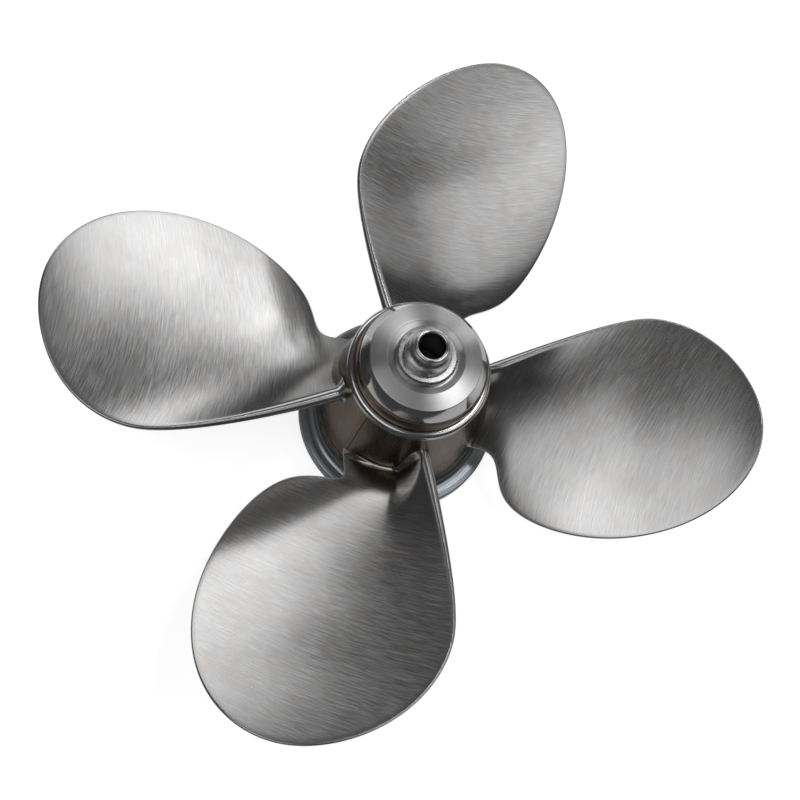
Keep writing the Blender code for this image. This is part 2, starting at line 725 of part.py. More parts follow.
def make_envelope(where, finish):
    """Cutter with the hub's outside plus the assembly gap, which trims the blades' roots."""
    bead_low = stack()["bead_bottom"] - GAP
    bead_edge = BEAD_RADIUS + GAP
    weld_edge = WELD_RADIUS + WELD_SIZE + GAP
    bottom = barrel_bottom()
    margin = CUTTER_MARGIN
    top = stack()["core_top"] + ENVELOPE_HEADROOM
    wide = FLANGE_RADIUS + margin
    profile = [(margin, top), (bead_edge, top), (bead_edge, bead_low)]
    profile += [(BARREL_FRONT_RADIUS + GAP, bead_low - STEP_DROP), (BARREL_REAR_RADIUS + GAP, bottom)]
    profile += [(weld_edge, bottom - STEP_DROP), (weld_edge, FLANGE_COLLAR_TOP + GAP)]
    profile += flange_outline(GAP)[1:-1]
    profile += [(wide, FLANGE_THICKNESS + GAP - STEP_DROP), (wide, -margin), (margin, -margin)]
    return as_cutter(turned("hub_envelope", profile, where, finish))


def main():
    """Build every sub-part of the propeller."""
    for old in list(bpy.data.objects):
        bpy.data.objects.remove(old, do_unlink=True)
    parts = collection(COLLECTION)
    cutters = collection("cutters")
    brushed = material("brushed_stainless", (0.52, 0.52, 0.51), 0.34)
    satin = material("turned_stainless", (0.56, 0.56, 0.56), 0.3)
    polished = material("polished_stainless", (0.66, 0.66, 0.66), 0.14)
    bluish = material("flange_stainless", (0.38, 0.42, 0.47), 0.28)
    tinted = material("heat_tinted_stainless", (0.42, 0.34, 0.28), 0.36)
    dark = material("core_steel", (0.25, 0.25, 0.25), 0.45)
    weld = material("weld_metal", (0.60, 0.56, 0.48), 0.55)
    mottled = material("mottled_stainless", (0.45, 0.45, 0.46), 0.38)
    make_flange(parts, bluish)
    make_weld(parts, weld)
    make_core(parts, cutters, dark)
    envelope = make_envelope(cutters, dark)
    sector = 2 * math.pi / BLADE_COUNT
    for index in range(BLADE_COUNT):
        make_segment(index + 1, math.radians(FIRST_SEAM) + index * sector, parts, tinted)
    for name, setting in BLADE_SETTINGS.items():
        make_blade(name, setting, envelope, parts, brushed)
    make_bead(parts, polished)
    make_neck(parts, tinted)
    make_cap(parts, satin)
    make_collar(parts, mottled)
    make_spigot(parts, polished)


main()
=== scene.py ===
"""Looks of a four-bladed stainless ship propeller, on a pale floor under soft studio light.

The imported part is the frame. Blades, barrel, flange, bead ring, neck, nose cap, collar and spigot
are remade here as fine smooth surfaces from the same sizes, and take finishes that follow how each
piece was ground, turned, welded or polished. The shaft core keeps its own mesh.
"""

import logging
import math
from dataclasses import dataclass, field
from enum import Enum
from typing import Any

import bmesh
import bpy
import numpy as np
from bpy.types import ID, Material, NodeSocket, NodeTree, Object
from mathutils import Matrix


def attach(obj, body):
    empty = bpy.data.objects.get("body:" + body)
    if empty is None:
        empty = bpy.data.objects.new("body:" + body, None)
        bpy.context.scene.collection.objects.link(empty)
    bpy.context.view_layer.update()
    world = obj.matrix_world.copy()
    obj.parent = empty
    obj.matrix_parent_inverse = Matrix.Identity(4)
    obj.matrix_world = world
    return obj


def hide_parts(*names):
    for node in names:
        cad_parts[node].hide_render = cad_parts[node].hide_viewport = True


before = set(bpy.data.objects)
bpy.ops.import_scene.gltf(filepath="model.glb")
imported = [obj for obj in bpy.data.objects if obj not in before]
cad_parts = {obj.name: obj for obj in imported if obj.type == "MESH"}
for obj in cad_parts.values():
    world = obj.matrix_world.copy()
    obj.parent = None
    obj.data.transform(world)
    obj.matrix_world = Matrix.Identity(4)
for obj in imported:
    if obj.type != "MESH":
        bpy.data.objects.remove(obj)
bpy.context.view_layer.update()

log = logging.getLogger("propeller")

MM = 0.001
GAP = 0.3 * MM
LAY_MAP = "lay_mm"
ZONE = "zone"
TINT = "tint"

# Points that a rounded corner of a profile has
CORNER_POINTS = 7

# How far from the blades' roots the blades' heat tint with painted shade, and the barrel's darker band,
# reach
HEAT_REACH = 9 * MM

# Radii at which the way round is measured in mm, and the slant of the barrel's marks
BARREL_LAY_RADIUS_MM = 45
BARREL_LAY_SLANT = 0.12
RING_LAY_RADIUS_MM = 40
TURNED_LAY_RADIUS_MM = 20.0

# The drawn marks: how far the crossed and stray ones turn from the lay in degrees, their width and
# length as shares of the fine ones', and how far the noise is moved along
MARK_TILT = 4.0
CROSSED_MARK = (1.4, 0.4)
STRAY_MARK = (0.7, 5.0)
MARK_SHIFT = 3.1
SCRATCH_COLOUR = "#f4f4f4"


class Lay(Enum):
    """Which way the tool marks of a metal surface run."""

    MAPPED = "along V of the piece's own map"
    TURNED = "in rings round the shaft line"


def linear(colour: str) -> tuple[float, float, float, float]:
    """Turn an sRGB hex colour into linear light.

    Args:
        colour: six hex digits, with or without a leading #.

    Returns:
        Red, green, blue and an alpha of one.
    """
    digits = colour.lstrip("#")
    shares = [int(digits[place : place + 2], 16) / 255 for place in (0, 2, 4)]
    light = [share / 12.92 if share <= 0.04045 else ((share + 0.055) / 1.055) ** 2.4 for share in shares]
    return (light[0], light[1], light[2], 1.0)


def add_node(
    tree: NodeTree, kind: str, inputs: dict | None = None, output: int | str = 0, **settings: Any
) -> NodeSocket:
    """Add one node to a material or world.

    Args:
        tree: the node tree that takes the node.
        kind: the node's type name without its ShaderNode prefix.
        inputs: by input name or place, a value or a socket to join to it.
        output: name or place of the output that is wanted.
        settings: the node's own properties.

    Returns:
        That output's socket.
    """
    made = tree.nodes.new("ShaderNode" + kind)
    for name, value in settings.items():
        setattr(made, name, value)
    for name, value in (inputs or {}).items():
        if isinstance(value, NodeSocket):
            tree.links.new(value, made.inputs[name])
        else:
            made.inputs[name].default_value = value
    return made.outputs[output]


def soften(profile: list[tuple[float, float]], cut: float) -> np.ndarray:
    """Round every corner of a closed profile.

    Each corner P becomes the curve (1-s)^2 A + 2s(1-s) P + s^2 B, where A and B lie on the two
    sides, the cut away from P or two fifths of the side where that is shorter.

    Args:
        profile: corners (r, z) in metres.
        cut: how far from the corner the rounding starts.

    Returns:
        Points (r, z), CORNER_POINTS for each corner.
    """
    corner = np.array(profile)
    before = np.roll(corner, 1, axis=0) - corner
    after = np.roll(corner, -1, axis=0) - corner
    before_length = np.linalg.norm(before, axis=1, keepdims=True)
    after_length = np.linalg.norm(after, axis=1, keepdims=True)
    start = corner + before / before_length * np.minimum(cut, 0.4 * before_length)
    end = corner + after / after_length * np.minimum(cut, 0.4 * after_length)
    share = np.linspace(0, 1, CORNER_POINTS)[None, :, None]
    curve = (1 - share) ** 2 * start[:, None] + 2 * share * (1 - share) * corner[:, None]
    return (curve + share**2 * end[:, None]).reshape(-1, 2)


def arc(centre: tuple[float, float], radius: float, start: float, end: float, steps: int) -> list:
    """Points of an arc as a profile.

    Args:
        centre: middle (r, z).
        radius: in metres.
        start: first angle in degrees.
        end: last angle in degrees.
        steps: number of pieces.

    Returns:
        Points (r, z), each the centre plus the radius times (cosine, sine) of its angle.
    """
    angle = np.radians(np.linspace(start, end, steps + 1))
    points = np.stack([centre[0] + radius * np.cos(angle), centre[1] + radius * np.sin(angle)], axis=-1)
    return [tuple(point) for point in points.tolist()]


def swept(profile: np.ndarray, angle: np.ndarray) -> np.ndarray:
    """Carry a profile round the shaft line: (r, z) at angle a stands at (r cos a, r sin a, z).

    Args:
        profile: points (r, z) in metres.
        angle: angles in radians.

    Returns:
        For each angle, the profile's points x, y, z.
    """
    radius, height = profile.T
    turn = angle[:, None]
    places = np.broadcast_arrays(radius * np.cos(turn), radius * np.sin(turn), height)
    return np.stack(places, axis=-1)


def points_along(line: np.ndarray, marks: np.ndarray, place: np.ndarray) -> np.ndarray:
    """Points of a line at places on the scale of its marks, straight between its own points."""
    return np.stack([np.interp(place, marks, line[:, 0]), np.interp(place, marks, line[:, 1])], axis=-1)


def grid_faces(rows: int, columns: int, wrap_rows: bool, wrap_columns: bool) -> np.ndarray:
    """Quads over a grid of points.

    Args:
        rows: number of point rows.
        columns: points in each row.
        wrap_rows: join the last row to the first.
        wrap_columns: join the last column to the first.

    Returns:
        Four point numbers for each quad, facing along (column step) x (row step).
    """
    row, column = np.meshgrid(
        np.arange(rows if wrap_rows else rows - 1),
        np.arange(columns if wrap_columns else columns - 1),
        indexing="ij",
    )
    next_row = (row + 1) % rows
    next_column = (column + 1) % columns
    quads = [
        row * columns + column, row * columns + next_column, next_row * columns + next_column,
        next_row * columns + column,
    ]
    return np.stack(quads, axis=-1).reshape(-1, 4)


def put_piece(
    name: str, points: np.ndarray, faces: list[list[int]], lay: np.ndarray, finish: Material,
    node: str, zone: np.ndarray, tint: np.ndarray | None = None, sharp: float = 180.0,
) -> Object:
    """Make a closed piece from its points and put it in place of a CAD node.

    Args:
        name: the piece's name.
        points: places of the points, in metres.
        faces: point numbers of each face.
        lay: map place of each point in mm, V along the tool marks.
        finish: material of the piece.
        node: CAD node that the piece stands for.
        zone: from 0 to 1 at each point, how far the finish gives way to its zone's.
        tint: from 0 to 1 at each point, how strong the heat tint and the painted shade at the blades' roots
            are; none where left out.
        sharp: edges that turn by more than this many degrees stay sharp.

    Returns:
        The new object.
    """
    mesh = bpy.data.meshes.new(name)
    mesh.from_pydata(points.tolist(), [], faces)
    corner = np.empty(len(mesh.loops), dtype=np.int32)
    mesh.loops.foreach_get("vertex_index", corner)
    layer = mesh.uv_layers.new(name=LAY_MAP)
    layer.data.foreach_set("uv", lay[corner].astype(np.float32).ravel())
    tint = np.zeros(len(points)) if tint is None else tint
    for title, share in ((ZONE, zone), (TINT, tint)):
        values = mesh.attributes.new(title, "FLOAT", "POINT").data
        values.foreach_set("value", share.astype(np.float32).ravel())
    shape = bmesh.new()
    shape.from_mesh(mesh)
    bmesh.ops.remove_doubles(shape, verts=shape.verts, dist=0.001 * MM)
    bmesh.ops.dissolve_degenerate(shape, edges=shape.edges, dist=0.001 * MM)
    bmesh.ops.recalc_face_normals(shape, faces=shape.faces)
    shape.to_mesh(mesh)
    shape.free()
    mesh.shade_smooth()
    if sharp < 180.0:
        mesh.set_sharp_from_angle(angle=math.radians(sharp))
    mesh.materials.append(finish)
    made = bpy.data.objects.new(name, mesh)
    bpy.context.scene.collection.objects.link(made)
    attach(made, "root")
    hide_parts(node)
    log.info("%s: %d faces, stands for %s", name, len(mesh.polygons), node)
    return made


@dataclass(frozen=True)
class WorkedMetal:
    """Bare steel, mostly AISI 316 stainless, with the marks of the tool that finished it.

    Steel reflects its surroundings in a neutral grey. The belt, flap wheel or lathe tool leaves
    fine parallel marks, which spread each reflection across them and show as light and dark
    hair lines. Real marks are about 0.1 mm wide, too fine for the render, so they are drawn
    about 0.4 to 1.5 mm wide.

    Attributes:
        name: material name.
        light: sRGB colour between the marks.
        dark: sRGB colour in the marks.
        roughness: middle roughness.
        spread: how much the roughness changes over the surface.
        stretch: anisotropy of the reflection.
        mark_width: width of a drawn mark in mm.
        mark_length: length of a drawn mark in mm.
        mark_depth: height of the marks in mm.
        scratch: share of light stray scratches, from 0 to 1.
        lay: which way the marks run.
        patch: sRGB colour of broad patches, such as heat tint or handling marks.
        patch_share: strength of the patches.
        patch_size: size of a patch in mm.
        zone_colour: sRGB colour where the piece's zone is full.
        zone_roughness: roughness there.
        zone_patchy: how much broad patches break up the zone.
        tint_colour: sRGB colour where the piece's tint is full: heat tint darkened into painted shade over
            the blades' root hollows.
    """

    name: str
    light: str
    dark: str
    roughness: float
    spread: float = 0.06
    stretch: float = 0.5
    mark_width: float = 0.7
    mark_length: float = 30.0
    mark_depth: float = 0.01
    scratch: float = 0.5
    lay: Lay = Lay.MAPPED
    patch: str = "#777777"
    patch_share: float = 0.2
    patch_size: float = 30.0
    zone_colour: str = "#c8c8c8"
    zone_roughness: float = 0.12
    zone_patchy: float = 0.0
    tint_colour: str = "#7d766f"

    def place(self, tree: NodeTree) -> NodeSocket:
        """Give each surface place as (across the marks, along the marks, 0) in mm.

        A turned piece gives its radius and height across the marks, so that the marks are rings.

        Args:
            tree: the material's node tree.

        Returns:
            The socket with the place.
        """
        if self.lay is Lay.MAPPED:
            return add_node(tree, "UVMap", uv_map=LAY_MAP)
        spot = add_node(tree, "TexCoord", output="Object")
        x, y, z = add_node(tree, "SeparateXYZ", {0: spot}).node.outputs
        flat = add_node(tree, "CombineXYZ", {0: x, 1: y})
        radius = add_node(tree, "VectorMath", {0: flat}, "Value", operation="LENGTH")
        across = add_node(tree, "Math", {0: radius, 1: z}, operation="ADD")
        across = add_node(tree, "Math", {0: across, 1: MM}, operation="DIVIDE")
        along = add_node(tree, "Math", {0: y, 1: x}, operation="ARCTAN2")
        along = add_node(tree, "Math", {0: along, 1: TURNED_LAY_RADIUS_MM}, operation="MULTIPLY")
        return add_node(tree, "CombineXYZ", {0: across, 1: along})

    def marks(
        self, tree: NodeTree, place: NodeSocket, width: float, length: float, turn: float
    ) -> NodeSocket:
        """Noise drawn out along the lay.

        Args:
            tree: the material's node tree.
            place: surface place in mm.
            width: share of the mark's width.
            length: share of the mark's length.
            turn: angle between the marks and the lay in degrees.

        Returns:
            The noise value's socket.
        """
        scale = (1 / (width * self.mark_width), 1 / (length * self.mark_length), 1.0)
        turned = add_node(tree, "Mapping", {0: place, "Rotation": (0.0, 0.0, math.radians(turn))})
        drawn = {0: turned, "Scale": scale, "Location": (turn, MARK_SHIFT, 0.0)}
        drawn = add_node(tree, "Mapping", drawn)
        return add_node(tree, "TexNoise", {"Vector": drawn, "Scale": 1.0, "Detail": 1.5}, "Fac")

    def clouds(self, tree: NodeTree) -> NodeSocket:
        """Noise in soft patches of the patch size.

        Args:
            tree: the material's node tree.

        Returns:
            The noise value's socket.
        """
        spot = add_node(tree, "TexCoord", output="Object")
        drawn = add_node(tree, "Mapping", {0: spot, "Scale": (1 / (self.patch_size * MM),) * 3})
        look = {"Vector": drawn, "Scale": 1.0, "Detail": 4.0, "Roughness": 0.55, "Distortion": 0.6}
        return add_node(tree, "TexNoise", look, "Fac")

    def make(self) -> Material:
        """Build the material.

        Returns:
            A material of one Principled shader with colour, roughness and bump from the marks.
        """
        made = bpy.data.materials.new(self.name)
        made.use_nodes = True
        tree = made.node_tree
        shader = tree.nodes["Principled BSDF"]
        mapped = self.lay is Lay.MAPPED
        tilt = MARK_TILT if mapped else 0.0
        place = self.place(tree)
        fine = self.marks(tree, place, 1.0, 1.0, 0.0)
        crossed = self.marks(tree, place, *CROSSED_MARK, tilt)
        both = add_node(tree, "Math", {0: fine, 1: crossed}, operation="ADD")
        stray = self.marks(tree, place, *STRAY_MARK, -tilt)
        cloud = self.clouds(tree)

        # Each value, its low and high end, and what they become: light between the marks, the
        # patches, the stray scratches, the share of heat tint with painted shade and of the zone that
        # the clouds leave, and the roughness
        ranges = (
            (both, 0.6, 1.4, 0.0, 1.0),
            (cloud, 0.45, 0.7, 0.0, self.patch_share),
            (stray, 0.66, 0.74, 0.0, self.scratch),
            (cloud, 0.3, 0.7, 0.4, 1.0),
            (cloud, 0.4, 0.6, 1.0 - self.zone_patchy, 1.0),
            (both, 0.7, 1.3, self.roughness - self.spread, self.roughness + self.spread),
        )
        ranges = [add_node(tree, "MapRange", dict(enumerate(row))) for row in ranges]
        lightness, patches, scratches, browning, whole, rough = ranges
        # Heat tint at the blades' roots, partly real oxide and partly painted shade over the root hollows
        heat = add_node(tree, "Attribute", output="Fac", attribute_name=TINT)
        heat = add_node(tree, "Math", {0: heat, 1: browning}, operation="MULTIPLY")
        zone = add_node(tree, "Attribute", output="Fac", attribute_name=ZONE)
        zone = add_node(tree, "Math", {0: zone, 1: whole}, operation="MULTIPLY")

        # Coats of colour, each over the ones before it
        coats = (
            (lightness, self.light), (patches, self.patch), (scratches, SCRATCH_COLOUR),
            (heat, self.tint_colour), (zone, self.zone_colour),
        )
        colour = linear(self.dark)
        for share, coat in coats:
            mix = {"Factor": share, 6: colour, 7: linear(coat)}
            colour = add_node(tree, "Mix", mix, 2, data_type="RGBA")
        rough = add_node(tree, "Mix", {0: zone, 2: rough, 3: self.zone_roughness}, data_type="FLOAT")
        bump = add_node(tree, "Bump", {"Height": both, "Strength": 1.0, "Distance": self.mark_depth * MM})
        if mapped:
            tangent = add_node(tree, "Tangent", direction_type="UV_MAP", uv_map=LAY_MAP)
        else:
            tangent = add_node(tree, "Tangent", direction_type="RADIAL", axis="Z")
            shader.inputs["Anisotropic Rotation"].default_value = 0.25
        shader.inputs["Metallic"].default_value = 1.0
        shader.inputs["Anisotropic"].default_value = self.stretch
        sockets = {"Base Color": colour, "Roughness": rough, "Normal": bump, "Tangent": tangent}
        for name, socket in sockets.items():
            tree.links.new(socket, shader.inputs[name])
        return made


@dataclass(frozen=True)
class BladeSetting:
    """How one blade was set by hand against the drawing.

    Attributes:
        azimuth: place round the shaft in degrees.
        chord: stretch across the blade.
        reach: stretch along the blade.
        lift: shift up the shaft in mm.
        sweep: outward shift for each metre across.
        bow: outward shift for each square metre across.
        notch: control points (u, w) of the notch at the leading root, in mm.
        rod_root: how much wider the rod's root stands, in mm.
        spoon: depth of the hollow beaten into the root, in mm.
        slant: how far the grinding marks run outwards for each metre across.
        bend: how far they curve outwards at 100 mm across, in mm divided by ten.
        warp: how the blade was beaten, in mm of height for each term of Blades.warp_terms.
    """

    azimuth: float
    chord: float
    reach: float
    lift: float
    sweep: float
    bow: float
    notch: tuple
    rod_root: float
    spoon: float
    slant: float
    bend: float
    warp: tuple[float, ...]


@dataclass
class Barrel:
    """The tapered hub barrel in four segments, welded round the core.

    Attributes:
        rear_radius: radius at the rear end.
        front_radius: radius at the front end.
        bottom: height of the rear end.
        top: height of the front end.
        inner: radius of the core that the segments wrap.
        first_seam: angle of the first seam in degrees.
        bevel: bevel of the outer corners.
        steps: angle steps in each segment.
        rows: points up the outside.
    """

    rear_radius: float = 49.6 * MM
    front_radius: float = 40.2 * MM
    bottom: float = 17.2 * MM
    top: float = 79.5 * MM
    inner: float = 34.0 * MM
    first_seam: float = 222.0
    bevel: float = 0.4 * MM
    steps: int = 60
    rows: int = 60

    def radius(self, z: np.ndarray) -> np.ndarray:
        """Radius at heights z, a straight taper held at its two ends."""
        share = np.clip((z - self.bottom) / (self.top - self.bottom), 0, 1)
        return self.rear_radius + (self.front_radius - self.rear_radius) * share

    def build(self, finish: Material, roots: np.ndarray) -> None:
        """Build the four segments.

        Each is a closed profile, outside from top to bottom, carried round a quarter turn less a
        seam. The map's U is the way round plus a slant of the height and V the height, so that
        the marks run down the barrel. The zone, a greyer and darker band, is exp(-(d / reach)^2)
        at distance d from the blades' roots, with the reach of the blades' root tint and shade.

        Args:
            finish: material of the segments.
            roots: points along the four blades' roots.
        """
        height = np.linspace(self.top - self.bevel, self.bottom + self.bevel, self.rows)
        outside = np.stack([self.radius(height), height], axis=-1)
        ends = np.array([(self.inner, self.top), (self.front_radius - self.bevel, self.top)])
        foot = np.array([(self.rear_radius - self.bevel, self.bottom), (self.inner, self.bottom)])
        profile = np.concatenate([ends, outside, foot])
        half_seam = math.asin(GAP / 2 / self.inner)
        for index in range(4):
            start = math.radians(self.first_seam + 90 * index) + half_seam
            angle = np.linspace(start, start + math.pi / 2 - 2 * half_seam, self.steps + 1)
            points = swept(profile, angle)
            faces = grid_faces(len(angle), len(profile), False, True).tolist()
            last = (len(angle) - 1) * len(profile)
            faces += [list(range(len(profile))), list(range(last, last + len(profile)))]
            rise = points[..., 2] / MM
            lay = np.stack([angle[:, None] * BARREL_LAY_RADIUS_MM + BARREL_LAY_SLANT * rise, rise], axis=-1)
            points = points.reshape(-1, 3)
            away = np.linalg.norm(points[:, None] - roots[None], axis=2).min(axis=1)
            put_piece(
                f"segment_{index + 1}", points, faces, lay.reshape(-1, 2), finish,
                f"hub_segment_{index + 1}", np.exp(-((away / HEAT_REACH) ** 2)),
                sharp=50.0,
            )


@dataclass
class Blades:
    """The four cupped blades.

    Every blade is one surface of two parameters: u runs out along the blade and w across it.

    Attributes:
        barrel: the barrel that the blades stand on.
        outline: control points (u, w) of the outline in mm, past the notch.
        settings: how each blade was set.
        warp_terms: powers of the way out and the way across, for each height of a blade's warp.

    The other fields are named for what they measure.
    """

    barrel: Barrel
    outline: tuple = (
        (127.0, -68.0), (175.0, -59.0), (210.0, -32.0), (220.0, 14.0), (188.0, 63.0), (139.0, 84.0),
        (107.0, 73.0), (31.0, 30.5),
    )
    settings: dict[str, BladeSetting] = field(
        default_factory=lambda: {
            "blade_1": BladeSetting(
                azimuth=-13.3, chord=0.968, reach=0.951, lift=-1.6, sweep=0.105, bow=0.25,
                notch=((31.0, -27.0), (42.0, -25.0), (71.7, -15.2), (74.9, -54.8)),
                rod_root=-5.0, spoon=9.0, slant=0.1, bend=1.5,
                warp=(-0.1, 1.6, 1.5, 0.6, -1.5, 0.2, 0.1, -0.6, 0.2, 0.9, 0.1, -0.3, -0.2, 0.3),
            ),
            "blade_2": BladeSetting(
                azimuth=71.1, chord=0.962, reach=1.034, lift=-1.0, sweep=-0.215, bow=-0.13,
                notch=((31.0, -29.0), (42.0, -27.0), (63.4, -18.4), (69.1, -55.0)),
                rod_root=0.0, spoon=0.0, slant=-0.12, bend=2.5,
                warp=(-1.4, 0.2, -0.5, -0.8, -0.9, -0.9, -0.1, -1.0, 0.3, -0.5, -0.1, 0.0, -0.5, -0.8),
            ),
            "blade_3": BladeSetting(
                azimuth=162.3, chord=1.086, reach=0.994, lift=0.5, sweep=0.09, bow=0.02,
                notch=((31.0, -43.0), (42.0, -41.5), (64.5, -13.8), (74.0, -52.0)),
                rod_root=0.0, spoon=0.0, slant=-0.45, bend=2.5,
                warp=(-3.2, -0.8, 1.4, -0.7, -1.0, -0.9, -0.3, -1.2, 0.7, 0.4, 0.8, -0.8, -0.8, 1.0),
            ),
            "blade_4": BladeSetting(
                azimuth=244.7, chord=1.009, reach=1.005, lift=2.2, sweep=-0.014, bow=-0.05,
                notch=((31.0, -33.0), (42.0, -31.0), (69.0, 1.5), (59.0, -55.0)),
                rod_root=0.0, spoon=28.0, slant=0.0, bend=-1.2,
                warp=(-0.6, 0.4, 0.4, -1.0, -0.6, -0.5, -0.1, -0.2, 0.6, 0.3, 0.0, -0.3, -0.2, 0.4),
            ),
        }
    )
    warp_terms: tuple = (
        (1, 0), (0, 1), (2, 0), (1, 1), (0, 2), (3, 0), (2, 1), (1, 2), (0, 3), (4, 0), (3, 1), (2, 2),
        (1, 3), (0, 4),
    )
    warp_reach: float = 80 * MM
    warp_width: float = 70 * MM
    pitch: float = 37.5 * MM
    mid_radius: float = 122.0 * MM
    mid_height: float = 49.5 * MM
    rake: float = 0.262
    cup: float = 0.61
    dish: float = 1.28
    spoon_middle: float = 19.0 * MM
    spoon_leading_width: float = 46.0 * MM
    spoon_rod_width: float = 15.0 * MM
    spoon_start: float = 42.0 * MM
    spoon_reach: float = 11.0 * MM
    root_thickness: float = 9.0 * MM
    tip_thickness: float = 2.4 * MM
    leading_edge: float = 3.0 * MM
    trailing_edge: float = 8.4 * MM
    tip_edge: float = 1.8 * MM
    edge_taper: float = 3.0
    belly: float = 0.7
    rod_hollow: float = 5.0 * MM
    notch_hollow: float = 2.5 * MM
    face_hollow: float = 4.0 * MM
    hollow_share: float = 0.8
    hollow_power: float = 2.6
    root_inside: float = 1.6 * MM
    follow_from: float = 12.0 * MM
    follow_to: float = 94.0 * MM
    follow_rounds: int = 30
    thickest_rim: float = 0.45
    polish_width: float = 1.2 * MM
    polish_share: float = 0.55
    sections: int = 90
    tip_rays: int = 90
    rim_points: int = 9
    face_points: int = 36
    wave_height: float = 0.07 * MM
    wave_lengths: tuple = (45 * MM, 60 * MM)
    wave_count: int = 12
    first_seed: int = 11

    def outline_curve(self, setting: BladeSetting, count: int = 2401) -> np.ndarray:
        """Clamped cubic B-spline of the outline's control points, by the Cox-de Boor rule.

        Args:
            setting: how this blade was set; its notch comes before the outline's own points, and
                its rod root shifts the last one.
            count: number of points.

        Returns:
            Points (u, w) from the leading root round the tip to the trailing root, in metres.
        """
        control = np.array(setting.notch + self.outline)
        control[-1, 1] += setting.rod_root
        control = control * MM
        knots = np.concatenate([np.zeros(3), np.linspace(0, 1, len(control) - 2), np.ones(3)])
        at = np.linspace(0, 1, count)[:, None]
        at[-1] = 1 - 1e-9
        weights = ((knots[:-1] <= at) & (at < knots[1:])).astype(float)
        for order in (1, 2, 3):
            rise = knots[order:-1] - knots[: -order - 1]
            fall = knots[order + 1 :] - knots[1:-order]
            rise_share = (at - knots[: -order - 1]) / np.where(rise > 0, rise, np.inf)
            fall_share = (knots[order + 1 :] - at) / np.where(fall > 0, fall, np.inf)
            weights = rise_share * weights[:, :-1] + fall_share * weights[:, 1:]
        return weights @ control

    def plain(self, u: np.ndarray, w: np.ndarray, setting: BladeSetting) -> np.ndarray:
        """Middle surface of a blade in its own frame, before its root was spooned.

        The height is the mid height plus rake times (u - mid), dish times (u - mid) squared, w
        times the sine of the pitch angle, cup times w squared and the warp; the pitch angle is
        atan(pitch / u). The reach is u plus sweep times w plus bow times w squared, and the third
        coordinate is w times the cosine of the pitch angle.

        Args:
            u: places along the blade.
            w: places across the blade.
            setting: how this blade was set.

        Returns:
            Points with a last axis of x, y, z.
        """
        across = w * setting.chord
        angle = np.arctan2(self.pitch, u)
        out = u - self.mid_radius
        height = self.mid_height + setting.lift * MM + self.rake * out + self.dish * out**2
        height = height + across * np.sin(angle) + self.cup * across**2
        height = height + self.warp(u, w, setting)
        reach = (u + setting.sweep * across + setting.bow * across**2) * setting.reach
        return np.stack([reach, across * np.cos(angle), height], axis=-1)

    def middle(self, u: np.ndarray, w: np.ndarray, setting: BladeSetting) -> np.ndarray:
        """Middle surface with the root spooned.

        The spoon's depth is a cosine squared across the blade, wider on the leading side than on
        the rod's, times exp(-d / reach) at distance d outwards.

        Args:
            u: places along the blade.
            w: places across the blade.
            setting: how this blade was set.

        Returns:
            Points with a last axis of x, y, z.
        """
        side = w - self.spoon_middle
        share = np.clip(side / np.where(side > 0, self.spoon_rod_width, self.spoon_leading_width), -1, 1)
        out = np.clip(u - self.spoon_start, 0, None) / self.spoon_reach
        depth = setting.spoon * MM * np.cos(math.pi / 2 * share) ** 2 * np.exp(-out)
        points = self.plain(u, w, setting)
        return np.concatenate([points[..., :2], points[..., 2:] - depth[..., None]], axis=-1)

    def warp(self, u: np.ndarray, w: np.ndarray, setting: BladeSetting) -> np.ndarray:
        """Height that beating added: a sum of powers of (u - mid) / reach and w / width.

        Args:
            u: places along the blade.
            w: places across the blade.
            setting: how this blade was set.

        Returns:
            Heights in metres.
        """
        out = (u - self.mid_radius) / self.warp_reach
        over = w / self.warp_width
        terms = zip(setting.warp, self.warp_terms)
        return sum(height * out**first * over**second for height, (first, second) in terms) * MM

    def normal(self, u: np.ndarray, w: np.ndarray, setting: BladeSetting) -> np.ndarray:
        """Unit normals of the plain surface on its front side, from its two partial slopes.

        Args:
            u: places along the blade.
            w: places across the blade.
            setting: how this blade was set.

        Returns:
            Directions with a last axis of x, y, z.
        """
        step = 0.05 * MM
        along = self.plain(u + step, w, setting) - self.plain(u - step, w, setting)
        over = self.plain(u, w + step, setting) - self.plain(u, w - step, setting)
        cross = np.cross(along, over)
        return cross / np.linalg.norm(cross, axis=-1, keepdims=True)

    def hub_distance(self, u: np.ndarray, w: np.ndarray, setting: BladeSetting) -> np.ndarray:
        """How far places stand out from the barrel."""
        points = self.middle(u, w, setting)
        return np.hypot(points[..., 0], points[..., 1]) - self.barrel.radius(points[..., 2])

    def rim_reach(self, w: np.ndarray) -> np.ndarray:
        """How far out the rim's root hollow runs: long at the rod, short at the notch."""
        return np.where(w > 0, self.rod_hollow, self.notch_hollow)

    def root_hollow(self, distance: np.ndarray, reach: np.ndarray) -> np.ndarray:
        """Half-thickness that the root's hollow adds: its share of the reach times (1 - d/reach)^power."""
        return self.hollow_share * reach * (1 - np.clip(distance / reach, 0, 1)) ** self.hollow_power

    def onto_hub(self, points: np.ndarray, distance: np.ndarray, reach: np.ndarray) -> np.ndarray:
        """Draw points near the root in or out, so that the hollow runs into the barrel all round.

        Args:
            points: points of a face.
            distance: how far each should stand from the barrel.
            reach: reach of the hollow, past which nothing moves.

        Returns:
            The points, moved towards the shaft line by a share that grows to one at the hub.
        """
        radius = np.hypot(points[..., 0], points[..., 1])
        share = (1 - np.clip(distance / reach, 0, 1)) ** 2
        moved = radius - share * (radius - self.barrel.radius(points[..., 2]) - distance)
        flat = points[..., :2] * (moved / radius)[..., None]
        return np.concatenate([flat, points[..., 2:]], axis=-1)

